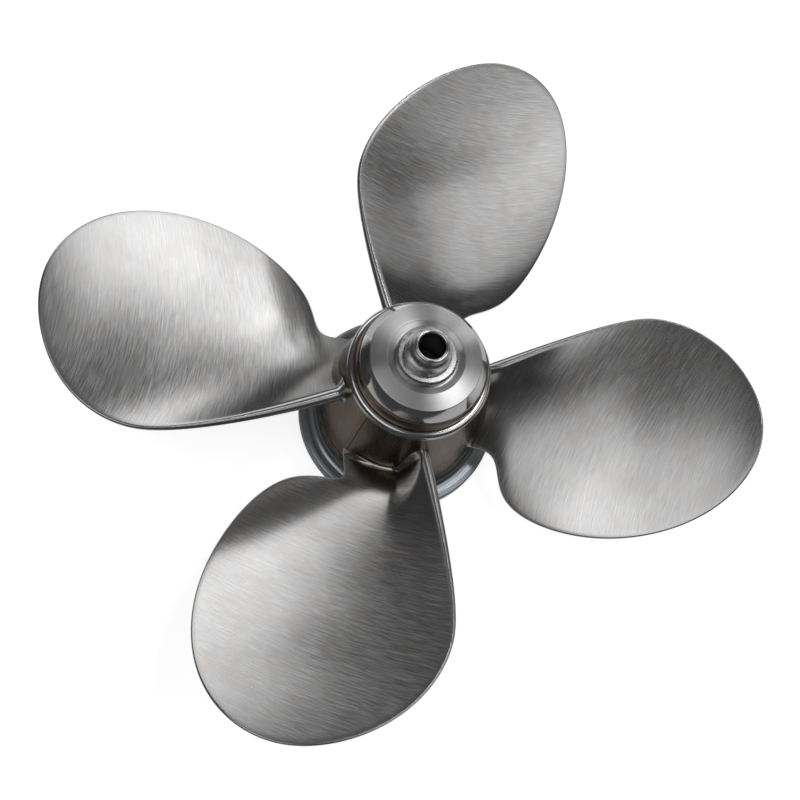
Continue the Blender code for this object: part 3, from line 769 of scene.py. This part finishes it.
    def rim_half(self, u: np.ndarray, w: np.ndarray) -> np.ndarray:
        """Half-thickness of the rim: thick at the roots, thin at the tip, falling by a cube.

        Args:
            u: places along the blade.
            w: places across the blade, positive on the rod's side.

        Returns:
            Half-thicknesses in metres.
        """
        tip = max(point[0] for point in self.outline) * MM
        start = self.barrel.front_radius
        out = np.clip((u - start) / (tip - start), 0, 1)
        root = np.where(w > 0, self.trailing_edge, self.leading_edge)
        return (self.tip_edge + (root - self.tip_edge) * (1 - out) ** self.edge_taper) / 2

    def offsets(self, length: np.ndarray, edge: np.ndarray) -> np.ndarray:
        """Distances from the rim of the points on each ray.

        Round the rim they are edge times (1 - cos t) for even t; over the face they are even.

        Args:
            length: length of each ray, as a column.
            edge: half-thickness of the rim at each ray, as a column.

        Returns:
            One row of distances for each ray.
        """
        turn = np.linspace(0, math.pi / 2, self.rim_points)[None]
        rim = edge * (1 - np.cos(turn))
        share = np.linspace(0, 1, self.face_points + 1)[None, 1:]
        return np.concatenate([rim, edge + (length - edge) * share], axis=1)

    def rays(self, setting: BladeSetting) -> tuple[np.ndarray, np.ndarray, np.ndarray]:
        """Rays from the rim to the middle of the blade, up one edge, round the tip and back.

        Near the hub a ray runs along a line of even distance from the barrel. Further out these
        lines straighten, and past the last one the rays run straight to its middle.

        Args:
            setting: how this blade was set.

        Returns:
            Places (u, w), distances from the rim, and the length of each ray.
        """
        line = self.outline_curve(setting)
        top = int(np.argmax(line[:, 0]))
        near = np.linspace(-self.root_inside, self.follow_from, self.sections // 2)
        far = np.linspace(self.follow_from, self.follow_to, self.sections - self.sections // 2 + 1)[1:]
        distance = np.concatenate([near, far])
        fade = np.clip((distance - near[-1]) / (distance[-1] - near[-1]), 0, 1)
        follow = 1 - fade * fade * (3 - 2 * fade)
        ends = []
        for edge in (line[: top + 1], line[: top - 1 : -1]):
            away = np.maximum.accumulate(self.hub_distance(edge[:, 0], edge[:, 1], setting))
            rows = np.arange(len(edge))
            ends.append(points_along(edge, rows, np.interp(distance, away, rows)))
        start, end = ends
        length = np.linalg.norm(end - start, axis=1)[:, None] / 2
        sides = []
        for side in (start, end):
            hollow = self.root_hollow(distance[:, None], self.rim_reach(side[:, 1:]))
            edge = self.rim_half(side[:, :1], side[:, 1:]) + hollow
            offset = self.offsets(length, np.minimum(edge, self.thickest_rim * length))
            share = offset / (2 * length)
            if side is end:
                share = 1 - share
            straight = start[:, :1] + share * (end[:, :1] - start[:, :1])
            w = start[:, 1:] + share * (end[:, 1:] - start[:, 1:])
            u = straight
            for _ in range(self.follow_rounds):
                u = u + distance[:, None] - self.hub_distance(u, w, setting)
            u = straight + (u - straight) * follow[:, None]
            sides.append((np.stack([u, w], axis=-1), offset))
        centre = sides[0][0][-1, -1]
        first, last = (int(np.argmin(np.linalg.norm(line - side[-1], axis=1))) for side in ends)
        cap = line[first : last + 1]
        travelled = np.concatenate([[0], np.cumsum(np.linalg.norm(np.diff(cap, axis=0), axis=1))])
        rim = points_along(cap, travelled, np.linspace(0, travelled[-1], self.tip_rays + 2)[1:-1])
        reach = np.linalg.norm(centre - rim, axis=1)[:, None]
        offset = self.offsets(reach, self.rim_half(rim[:, :1], rim[:, 1:]))
        spokes = rim[:, None] + (centre - rim)[:, None] * (offset / reach)[..., None]
        places = np.concatenate([sides[0][0], spokes, sides[1][0][::-1]])
        gone = np.concatenate([sides[0][1], offset, sides[1][1][::-1]])
        return places, gone, np.concatenate([length, reach, length[::-1]])

    def waves(self, u: np.ndarray, w: np.ndarray, seed: int) -> np.ndarray:
        """Shallow waves that hand grinding leaves: a sum of sines of u and w.

        Args:
            u: places along the blade.
            w: places across the blade.
            seed: number that fixes this blade's own waves.

        Returns:
            Heights between about minus and plus one.
        """
        chance = np.random.RandomState(seed)
        long_way, short_way = (
            chance.uniform(-1, 1, self.wave_count) * 2 * math.pi / length for length in self.wave_lengths
        )
        phase = chance.uniform(0, 2 * math.pi, self.wave_count)
        total = np.sin(u[..., None] * long_way + w[..., None] * short_way + phase)
        return total.sum(axis=-1) / math.sqrt(self.wave_count)

    def roots(self) -> np.ndarray:
        """Trace where the middle surfaces of the four blades meet the barrel.

        Returns:
            Every fourth point of each root, x, y, z.
        """
        lines = []
        for setting in self.settings.values():
            places, _, _ = self.rays(setting)
            edge = places[: self.sections, 0]
            row = int(np.argmin(np.abs(self.hub_distance(edge[:, 0], edge[:, 1], setting))))
            both = places[[row, -1 - row], ::4]
            points = self.middle(both[..., 0], both[..., 1], setting)
            lines.append(points.reshape(-1, 3) @ self.turn(setting).T)
        return np.concatenate(lines)

    def turn(self, setting: BladeSetting) -> np.ndarray:
        """Matrix that turns a blade from its own frame to its place round the shaft."""
        angle = math.radians(setting.azimuth)
        return np.array(
            [[math.cos(angle), -math.sin(angle), 0], [math.sin(angle), math.cos(angle), 0], [0, 0, 1]]
        )

    def shells(self, setting: BladeSetting, seed: int) -> tuple[np.ndarray, ...]:
        """Front and rear points of all rays.

        The half-thickness is the rim's plus the rest of the full one times a swell, plus the
        root's hollow, all times a quarter-circle rounding over the rim. The swell is the sine of
        the share of the ray, to the power of the belly.

        Args:
            setting: how this blade was set.
            seed: number that fixes this blade's waves.

        Returns:
            Front points, rear points, the places (u, w) of the rays, the share of polished rim,
            which falls to nothing on the faces, and the share of heat tint with painted shade,
            exp(-(d / reach)^2) at distance d from the hub.
        """
        places, offset, length = self.rays(setting)
        u = places[..., 0]
        w = places[..., 1]
        edge = self.rim_half(u[:, :1], w[:, :1])
        start = self.barrel.front_radius
        out = np.clip((u - start) / (u.max() - start), 0, 1)
        full = (self.root_thickness + (self.tip_thickness - self.root_thickness) * np.sqrt(out)) / 2
        share = np.sin(math.pi / 2 * np.clip(offset / length, 0, 1))
        swell = share**self.belly
        away = self.hub_distance(u, w, setting)
        rim_hollow = self.rim_reach(w[:, :1])
        rim = np.minimum(edge + self.root_hollow(away[:, :1], rim_hollow), self.thickest_rim * length)
        rounding = np.sqrt(1 - (1 - np.clip(offset / rim, 0, 1)) ** 2)
        plain = edge + (full - edge) * swell
        middle = self.middle(u, w, setting)
        normal = self.normal(u, w, setting)
        faces = []
        reach = rim_hollow + (self.face_hollow - rim_hollow) * share
        for side in (1, -1):
            half = (plain + self.root_hollow(away, reach)) * rounding
            if side == 1:
                half = half + self.wave_height * self.waves(u, w, seed) * swell
            faces.append(self.onto_hub(middle + side * normal * half[..., None], away, reach))
        turn = self.turn(setting).T
        over_rim = offset / (rim + self.polish_width)
        bright = 1 - np.clip((over_rim - self.polish_share) / (1 - self.polish_share), 0, 1)
        # Heat tint and painted shade darken the blade towards its root
        heat = np.exp(-((np.clip(away, 0, 1) / HEAT_REACH) ** 2)) * (1 - bright)
        return faces[0] @ turn, faces[1] @ turn, places, bright, heat

    def build(self, finish: Material) -> None:
        """Build the four blades.

        Each is the front grid, the rear grid and two caps at the root inside the barrel. The
        map's U is the way out along the blade, bent so that V follows the arcs of the grinding.

        Args:
            finish: material of the blades.
        """
        for index, (name, setting) in enumerate(self.settings.items()):
            front, rear, places, bright, heat = self.shells(setting, self.first_seed + index)
            rows, columns, _ = front.shape
            quads = grid_faces(rows, columns, False, False)
            behind = rows * columns
            cap = np.concatenate([np.arange(columns - 1), (rows - 1) * columns + np.arange(columns - 1)])
            ends = np.stack([cap, cap + 1, cap + 1 + behind, cap + behind], axis=-1)
            faces = np.concatenate([quads, quads[:, ::-1] + behind, ends])
            points = np.concatenate([front.reshape(-1, 3), rear.reshape(-1, 3)])
            over = places[..., 1] / MM
            bend = setting.bend * over**2 / 1000 + setting.slant * over
            lay = np.stack([places[..., 0] / MM - bend, over], axis=-1).reshape(-1, 2)
            put_piece(
                f"ground_{name}", points, faces.tolist(), np.tile(lay, (2, 1)), finish, name,
                np.tile(bright.ravel(), 2), np.tile(heat.ravel(), 2),
            )


@dataclass
class TurnedPieces:
    """Flange, weld, bead ring, neck, nose cap, collar and spigot, all turned round the shaft line.

    Attributes:
        finishes: materials by name.
        steps: angle steps of a whole turn.
        core: radius of the core with its gap.
        bore_lit: depth of the spigot's bore above its painted shade, which stays bright.
        bore_darkens: depth below it over which the painted shade turns the bore dark.

    The other fields are the pieces' radii, roundings and bevels, and heights over the flange's
    rear face.
    """

    finishes: dict[str, Material]
    steps: int = 288
    core: float = 34.0 * MM
    flange_radius: float = 61.6 * MM
    flange_thickness: float = 8.0 * MM
    land_radius: float = 56.2 * MM
    shelf_radius: float = 50.8 * MM
    shelf_top: float = 13.2 * MM
    flange_round: float = 1.0 * MM
    weld_radius: float = 49.1 * MM
    weld_size: float = 1.7 * MM
    bead_radius: float = 41.5 * MM
    bead_bottom: float = 79.8 * MM
    bead_height: float = 6.4 * MM
    neck_bottom: float = 86.5 * MM
    neck_top: float = 95.5 * MM
    neck_radius: float = 37.4 * MM
    neck_bore: float = 29.0 * MM
    neck_round: float = 0.5 * MM
    neck_top_bevel: tuple = (1.0 * MM, 2.0 * MM)
    neck_foot_bevel: tuple = (0.8 * MM, 1.2 * MM)
    cap_bottom: float = 95.8 * MM
    cap_radius: float = 35.8 * MM
    cap_lip_top: float = 97.0 * MM
    cap_round: float = 0.35 * MM
    cap_face_radius: float = 31.4 * MM
    chamfer_top: float = 103.9 * MM
    face_top: float = 105.1 * MM
    step_radius: float = 21.8 * MM
    step_top: float = 104.6 * MM
    seat: float = 103.4 * MM
    seat_radius: float = 18.2 * MM
    stem_gap: float = 9.7 * MM
    collar_radius: float = 17.3 * MM
    collar_bottom: float = 103.7 * MM
    collar_top: float = 107.7 * MM
    collar_round: float = 0.3 * MM
    collar_bevel: float = 1.1 * MM
    collar_taper: float = 0.4 * MM
    spigot_bore: float = 7.3 * MM
    spigot_rim: float = 10.0 * MM
    spigot_shoulder: float = 12.0 * MM
    spigot_shoulder_height: float = 8.8 * MM
    spigot_foot: float = 13.4 * MM
    spigot_stem: float = 9.4 * MM
    spigot_stem_depth: float = 8.0 * MM
    spigot_round: float = 0.5 * MM
    bore_lit: float = 2.2 * MM
    bore_darkens: float = 2.0 * MM
    spigot_bottom: float = 108.0 * MM
    spigot_top: float = 121.4 * MM

    def revolve(
        self, name: str, node: str, slot: str, profile: np.ndarray, zone: np.ndarray | None = None,
        finish: str = "",
    ) -> None:
        """Carry a closed profile round the shaft line.

        A point (r, z) at angle a stands at (r cos a, r sin a, z). The map's U is the length along
        the profile and V the way round.

        Args:
            name: the piece's name.
            node: CAD node that the piece stands for.
            slot: the record's material slot.
            profile: points (r, z), the outer side from top to bottom.
            zone: how full the finish's zone is at each point of the profile, none where left out.
            finish: name of the finish where it isn't the slot's own.
        """
        angle = np.linspace(0, 2 * math.pi, self.steps, endpoint=False)
        points = swept(profile, angle).reshape(-1, 3)
        side = np.linalg.norm(np.diff(profile, axis=0), axis=1)
        travelled = np.concatenate([[0], np.cumsum(side)]) / MM
        lay = np.stack(np.broadcast_arrays(travelled, angle[:, None] * RING_LAY_RADIUS_MM), axis=-1)
        faces = grid_faces(self.steps, len(profile), True, True).tolist()
        share = np.broadcast_to(0.0 if zone is None else zone, (self.steps, len(profile)))
        material = self.finishes[finish or slot]
        put_piece(name, points, faces, lay.reshape(-1, 2), material, node, share)

    def half_round(self, radius: float, bottom: float, half: float, steps: int) -> np.ndarray:
        """Profile from the core out to a half circle about the given radius, and back."""
        side = arc((radius, bottom + half), half, 90, -90, steps)
        return np.array([(self.core, bottom + 2 * half), *side, (self.core, bottom)])

    def build(self) -> None:
        """Build all the turned pieces."""
        drop = self.shelf_top - self.flange_thickness
        width = self.land_radius - self.shelf_radius
        turn = np.radians(np.linspace(180, 270, 24))
        cove = np.stack(
            [self.land_radius + width * np.cos(turn), self.shelf_top + drop * np.sin(turn)], axis=-1
        )
        outer = soften(
            [
                (self.core, self.shelf_top), (self.shelf_radius, self.shelf_top),
                (self.flange_radius, self.flange_thickness), (self.flange_radius, 0.0), (self.core, 0.0),
            ],
            self.flange_round,
        )
        flange = np.concatenate([outer[:CORNER_POINTS], cove[1:], outer[2 * CORNER_POINTS :]])
        self.revolve("rear_disc", "rear_flange", "flange_stainless", flange)
        weld = self.half_round(self.weld_radius, self.shelf_top + GAP, self.weld_size, 12)
        self.revolve("weld_run", "flange_weld", "weld_metal", weld)
        half = self.bead_height / 2
        bead = self.half_round(self.bead_radius - half, self.bead_bottom, half, 24)
        self.revolve("bead_ring", "front_bead_ring", "polished_stainless", bead)
        neck = [
            (self.neck_bore, self.neck_top), (self.neck_radius - self.neck_top_bevel[0], self.neck_top),
            (self.neck_radius, self.neck_top - self.neck_top_bevel[1]),
            (self.neck_radius, self.neck_bottom + self.neck_foot_bevel[1]),
            (self.neck_radius - self.neck_foot_bevel[0], self.neck_bottom),
            (self.neck_bore, self.neck_bottom),
        ]
        self.revolve(
            "neck_ring", "neck_band", "heat_tinted_stainless", soften(neck, self.neck_round),
            finish="neck_tinted_stainless",
        )
        cap = [
            (self.stem_gap, self.seat), (self.seat_radius, self.seat),
            (self.step_radius - 0.5 * MM, self.step_top), (self.step_radius, self.face_top),
            (self.cap_face_radius, self.chamfer_top), (self.cap_radius, self.cap_lip_top),
            (self.cap_radius, self.cap_bottom), (self.stem_gap, self.cap_bottom),
        ]
        cap = soften(cap, self.cap_round)
        radius, height = cap.T
        chamfer = (radius > self.cap_face_radius - 0.1 * MM) & (radius < self.cap_radius - 0.05 * MM)
        chamfer = chamfer & (height > self.cap_lip_top - 1.0 * MM)
        self.revolve("cap", "nose_cap", "turned_stainless", cap, chamfer)
        collar = [
            (self.stem_gap, self.collar_top), (self.collar_radius - self.collar_bevel, self.collar_top),
            (self.collar_radius, self.collar_top - self.collar_bevel),
            (self.collar_radius - self.collar_taper, self.collar_bottom),
            (self.stem_gap, self.collar_bottom),
        ]
        self.revolve("collar", "spigot_collar", "mottled_stainless", soften(collar, self.collar_round))
        self.build_spigot()

    def build_spigot(self) -> None:
        """Build the bored spigot with its rounded rim, shoulder and flared foot, and painted shade down its
        bore.
        """
        bore = self.spigot_bore
        bottom = self.spigot_bottom
        shoulder = self.spigot_shoulder
        shoulder_top = bottom + self.spigot_shoulder_height
        stem_bottom = self.seat - self.spigot_stem_depth
        lip = (self.spigot_rim - bore) / 2
        corners = [
            (self.spigot_rim, shoulder_top + 1.6 * MM), (shoulder - 0.6 * MM, shoulder_top),
            (shoulder, shoulder_top - 1.0 * MM), (shoulder, bottom + 5.0 * MM),
            (shoulder + 0.4 * MM, bottom + 2.5 * MM), (self.spigot_foot, bottom + 0.6 * MM),
            (self.spigot_foot, bottom), (self.spigot_stem, bottom), (self.spigot_stem, stem_bottom),
            (bore, stem_bottom),
        ]
        top = arc((bore + lip, self.spigot_top - lip), lip, 180, 0, 24)
        rounded = soften([*top[-1:], *corners, *top[:1]], self.spigot_round)
        profile = np.concatenate([np.array(top), rounded[CORNER_POINTS:-CORNER_POINTS]])
        # Painted shade: the bore's colour turns near black with depth below its bright mouth
        depth = self.spigot_top - self.bore_lit - profile[:, 1]
        dark = np.clip(depth / self.bore_darkens, 0, 1)
        inside = np.where(profile[:, 0] < bore + 0.4 * MM, dark, 0.0)
        self.revolve("bored_spigot", "spigot", "polished_stainless", profile, inside)


def stand(name: str, data: ID, axes: tuple) -> Object:
    """Put a lamp or the camera in the scene.

    Args:
        name: the object's name.
        data: the lamp or camera.
        axes: its right, up, back and place, the columns of its matrix.

    Returns:
        The new object.
    """
    matrix = np.eye(4)
    matrix[:3] = np.stack(axes, axis=1)
    made = bpy.data.objects.new(name, data)
    made.matrix_world = Matrix(matrix.tolist())
    bpy.context.scene.collection.objects.link(made)
    return made


def seen_or_mirrored(tree: NodeTree, seen: float, mirrored: float) -> NodeSocket:
    """A value of one size to the camera and another in the metal's reflections."""
    camera = add_node(tree, "LightPath", output="Is Camera Ray")
    return add_node(tree, "MapRange", dict(enumerate((camera, 0.0, 1.0, mirrored, seen))))


@dataclass(frozen=True)
class Softbox:
    """One soft studio lamp that faces the propeller.

    Attributes:
        name: lamp name.
        polar: angle from the shaft line in degrees.
        azimuth: angle round the shaft line in degrees.
        wide: diameter in metres.
        glow: radiance.
        distance: from the hub in metres.
    """

    name: str
    polar: float
    azimuth: float
    wide: float
    glow: float
    distance: float = 1.6

    def build(self) -> None:
        """Put the lamp in the scene; its power is pi times its area times its radiance."""
        lamp = bpy.data.lights.new(self.name, "AREA")
        lamp.shape = "DISK"
        lamp.size = self.wide
        lamp.energy = math.pi * math.pi / 4 * self.wide**2 * self.glow
        polar = math.radians(self.polar)
        azimuth = math.radians(self.azimuth)
        round_shaft = np.array([math.cos(azimuth), math.sin(azimuth), 0.0])
        away = math.sin(polar) * round_shaft + np.array([0.0, 0.0, math.cos(polar)])
        side = np.array([-math.sin(azimuth), math.cos(azimuth), 0.0])
        stand(self.name, lamp, (side, np.cross(away, side), away, away * self.distance))


@dataclass
class Studio:
    """Floor, room, lamps and the camera at the photograph's place.

    Attributes:
        lamps: polar angle and azimuth in degrees, diameter in metres and radiance of each lamp.
        right: the camera's right in the part's frame.
        up: the camera's up.
        back: away from the camera's view.
        location: the camera's place.
        sensor: width of the camera's sensor in mm.
        lens: focal length in mm.
        paper_radius: radius of the paper on the floor.
        paper_drop: how far the paper lies under the flange.
        paper_glow: glow of the paper to the camera, and in reflections.
        room_glow: brightness of the room to the camera, and in reflections.
    """

    lamps: tuple = (
        (57.0, 57.7, 0.58, 1.65), (28.8, -174.8, 0.75, 0.96), (48.6, -3.1, 0.69, 0.74),
        (57.9, 114.7, 0.63, 1.12), (55.4, 92.8, 0.48, 1.6), (56.3, 29.7, 0.74, 0.26),
        (34.1, -30.8, 0.72, 0.96), (46.7, 45.7, 0.29, 2.7), (69.8, 68.9, 0.59, 1.05),
        (25.5, -132.3, 0.86, 0.84), (19.9, 38.4, 0.19, 14.5), (48.8, 105.0, 0.31, 0.6),
        (25.1, -13.2, 0.74, 0.42), (66.0, 112.5, 0.5, 0.51), (54.0, 103.0, 0.5, 0.14),
        (42.0, 0.0, 0.5, 0.13), (30.0, 180.0, 0.5, 0.22), (66.0, 90.0, 0.5, 0.25),
        (66.0, 45.0, 0.5, 0.41), (78.0, 74.0, 0.5, 0.48),
    )
    right: tuple = (0.98464, -0.03967, 0.17001)
    up: tuple = (-0.01619, 0.94888, 0.31521)
    back: tuple = (-0.17382, -0.31313, 0.93367)
    location: tuple = (-118.5 * MM, -210.2 * MM, 655.8 * MM)
    sensor: float = 36.0
    lens: float = 49.4145
    paper_radius: float = 0.8
    paper_drop: float = 0.1 * MM
    paper_glow: tuple = (0.8, 0.12)
    room_glow: tuple = (0.9, 0.05)

    def build(self) -> None:
        """Build the studio and set the camera."""
        self.build_floor()
        self.build_room()
        for index, lamp in enumerate(self.lamps):
            Softbox(f"lamp_{index + 1}", *lamp).build()
        camera = bpy.data.cameras.new("camera")
        camera.sensor_width = self.sensor
        camera.lens = self.lens
        camera.clip_start = 0.01
        bpy.context.scene.camera = stand("camera", camera, (self.right, self.up, self.back, self.location))
        bpy.context.scene.view_settings.view_transform = "Standard"

    def build_floor(self) -> None:
        """Lay a round sheet of matt white paper under the flange, with a glow of its own.

        The camera sees it brighter than the metal does, as in a photograph printed on white.
        """
        angle = np.linspace(0, 2 * math.pi, 96, endpoint=False)
        points = swept(np.array([(self.paper_radius, -self.paper_drop)]), angle)[:, 0]
        mesh = bpy.data.meshes.new("floor")
        mesh.from_pydata(points.tolist(), [], [list(range(len(points)))])
        paint = bpy.data.materials.new("white_paper")
        paint.use_nodes = True
        shader = paint.node_tree.nodes["Principled BSDF"]
        shader.inputs["Base Color"].default_value = linear("#f2f2f2")
        shader.inputs["Roughness"].default_value = 0.9
        shader.inputs["Emission Color"].default_value = linear("#ffffff")
        glow = seen_or_mirrored(paint.node_tree, *self.paper_glow)
        paint.node_tree.links.new(glow, shader.inputs["Emission Strength"])
        mesh.materials.append(paint)
        made = bpy.data.objects.new("floor", mesh)
        bpy.context.scene.collection.objects.link(made)

    def build_room(self) -> None:
        """Make the room: dim in reflections, and pale where the camera sees it."""
        world = bpy.data.worlds.new("room")
        bpy.context.scene.world = world
        world.use_nodes = True
        back = world.node_tree.nodes["Background"]
        back.inputs["Color"].default_value = (1.0, 1.0, 1.0, 1.0)
        glow = seen_or_mirrored(world.node_tree, *self.room_glow)
        world.node_tree.links.new(glow, back.inputs["Strength"])


def finishes() -> dict[str, Material]:
    """Make every finish.

    Returns:
        Materials by name, which is the record's slot for all but the neck's.
    """
    metals = (
        # Stainless sheet ground by hand with a fine belt: hair lines, and reflections drawn out across
        # them. The zone is the edge's polished rod.
        WorkedMetal(
            "brushed_stainless", "#d8d5d1", "#a3a6ab", roughness=0.22, spread=0.03, stretch=0.5,
            mark_width=0.4, mark_length=24.0, mark_depth=0.0009, scratch=0.6, patch="#ada49b",
            patch_share=0.3, patch_size=16.0, zone_colour="#b8b8b8", zone_roughness=0.26,
        ),
        # Stainless bar turned with a fine feed: fans of light round the shaft line. The zone is the
        # chamfer, which is cut bright and mirrors the room.
        WorkedMetal(
            "turned_stainless", "#dcdcdc", "#cfcfcf", roughness=0.3, spread=0.02, stretch=0.92,
            mark_width=0.6, mark_length=400.0, mark_depth=0.002, lay=Lay.TURNED, scratch=0.1,
            zone_colour="#e0e0e0", zone_roughness=0.05,
        ),
        # Stainless buffed after turning: sharp bright lines along each round. The zone is painted shade,
        # near black, down the bore.
        WorkedMetal(
            "polished_stainless", "#dcdcdc", "#cccccc", roughness=0.2, spread=0.02, stretch=0.3,
            mark_width=0.8, mark_length=60.0, mark_depth=0.0004, lay=Lay.TURNED, scratch=0.1,
            zone_colour="#0c0b0a", zone_roughness=0.6,
        ),
        # Stainless plate, turned and pickled: a satin blue grey without clear reflections.
        WorkedMetal(
            "flange_stainless", "#a9adb2", "#969ba1", roughness=0.3, stretch=0.3, mark_width=0.8,
            mark_length=60.0, mark_depth=0.0006, lay=Lay.TURNED,
        ),
        # Stainless sheet browned by the heat of welding: straw to brown oxide over brushed metal. The
        # zone is a greyer, darker band along the blades' roots.
        WorkedMetal(
            "heat_tinted_stainless", "#98887b", "#7c6c5e", roughness=0.3, stretch=0.6, mark_width=0.6,
            mark_length=30.0, mark_depth=0.0025, patch="#857059", patch_share=0.4, patch_size=25.0,
            scratch=0.2, zone_colour="#77706a", zone_roughness=0.28, zone_patchy=0.3,
        ),
        # The same oxide on a turned ring: speckled brown with soft rings of light.
        WorkedMetal(
            "neck_tinted_stainless", "#857868", "#615850", roughness=0.32, stretch=0.3,
            mark_length=60.0, mark_depth=0.001, patch="#a88f78", patch_share=0.5, patch_size=5.0,
            lay=Lay.TURNED,
        ),
        # Stainless washer worn by the spanner: short marks and grey spots over a bright ground.
        WorkedMetal(
            "mottled_stainless", "#dadada", "#c2c2c4", roughness=0.28, spread=0.06, stretch=0.3,
            mark_width=1.5, mark_length=6.0, mark_depth=0.001, patch="#9c9c9e", patch_share=0.35,
            patch_size=11.0, lay=Lay.TURNED,
        ),
        # Weld metal left as it froze: rough, lumpy and matt, cream with dark slag.
        WorkedMetal(
            "weld_metal", "#958b78", "#665e50", roughness=0.5, stretch=0.0, mark_width=1.2,
            mark_length=2.4, mark_depth=0.15, patch="#4a453e", patch_share=0.9, patch_size=8.0,
        ),
        # Bored carbon steel with old grease: dark grey with a dull sheen.
        WorkedMetal(
            "core_steel", "#3c3b3a", "#302f2e", roughness=0.42, stretch=0.3, lay=Lay.TURNED,
            mark_length=60.0,
        ),
    )
    return {metal.name: metal.make() for metal in metals}


def main() -> None:
    """Build the looks piece by piece."""
    logging.basicConfig(level=logging.INFO, format="%(name)s: %(message)s")
    materials = finishes()
    barrel = Barrel()
    blades = Blades(barrel)
    barrel.build(materials["heat_tinted_stainless"], blades.roots())
    blades.build(materials["brushed_stainless"])
    TurnedPieces(materials).build()
    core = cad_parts["hub_core"]
    core.material_slots[0].material = materials["core_steel"]
    log.info("hub_core keeps its mesh and takes core_steel")
    Studio().build()
    log.info("studio and camera are set")


if __name__ == "__main__":
    main()
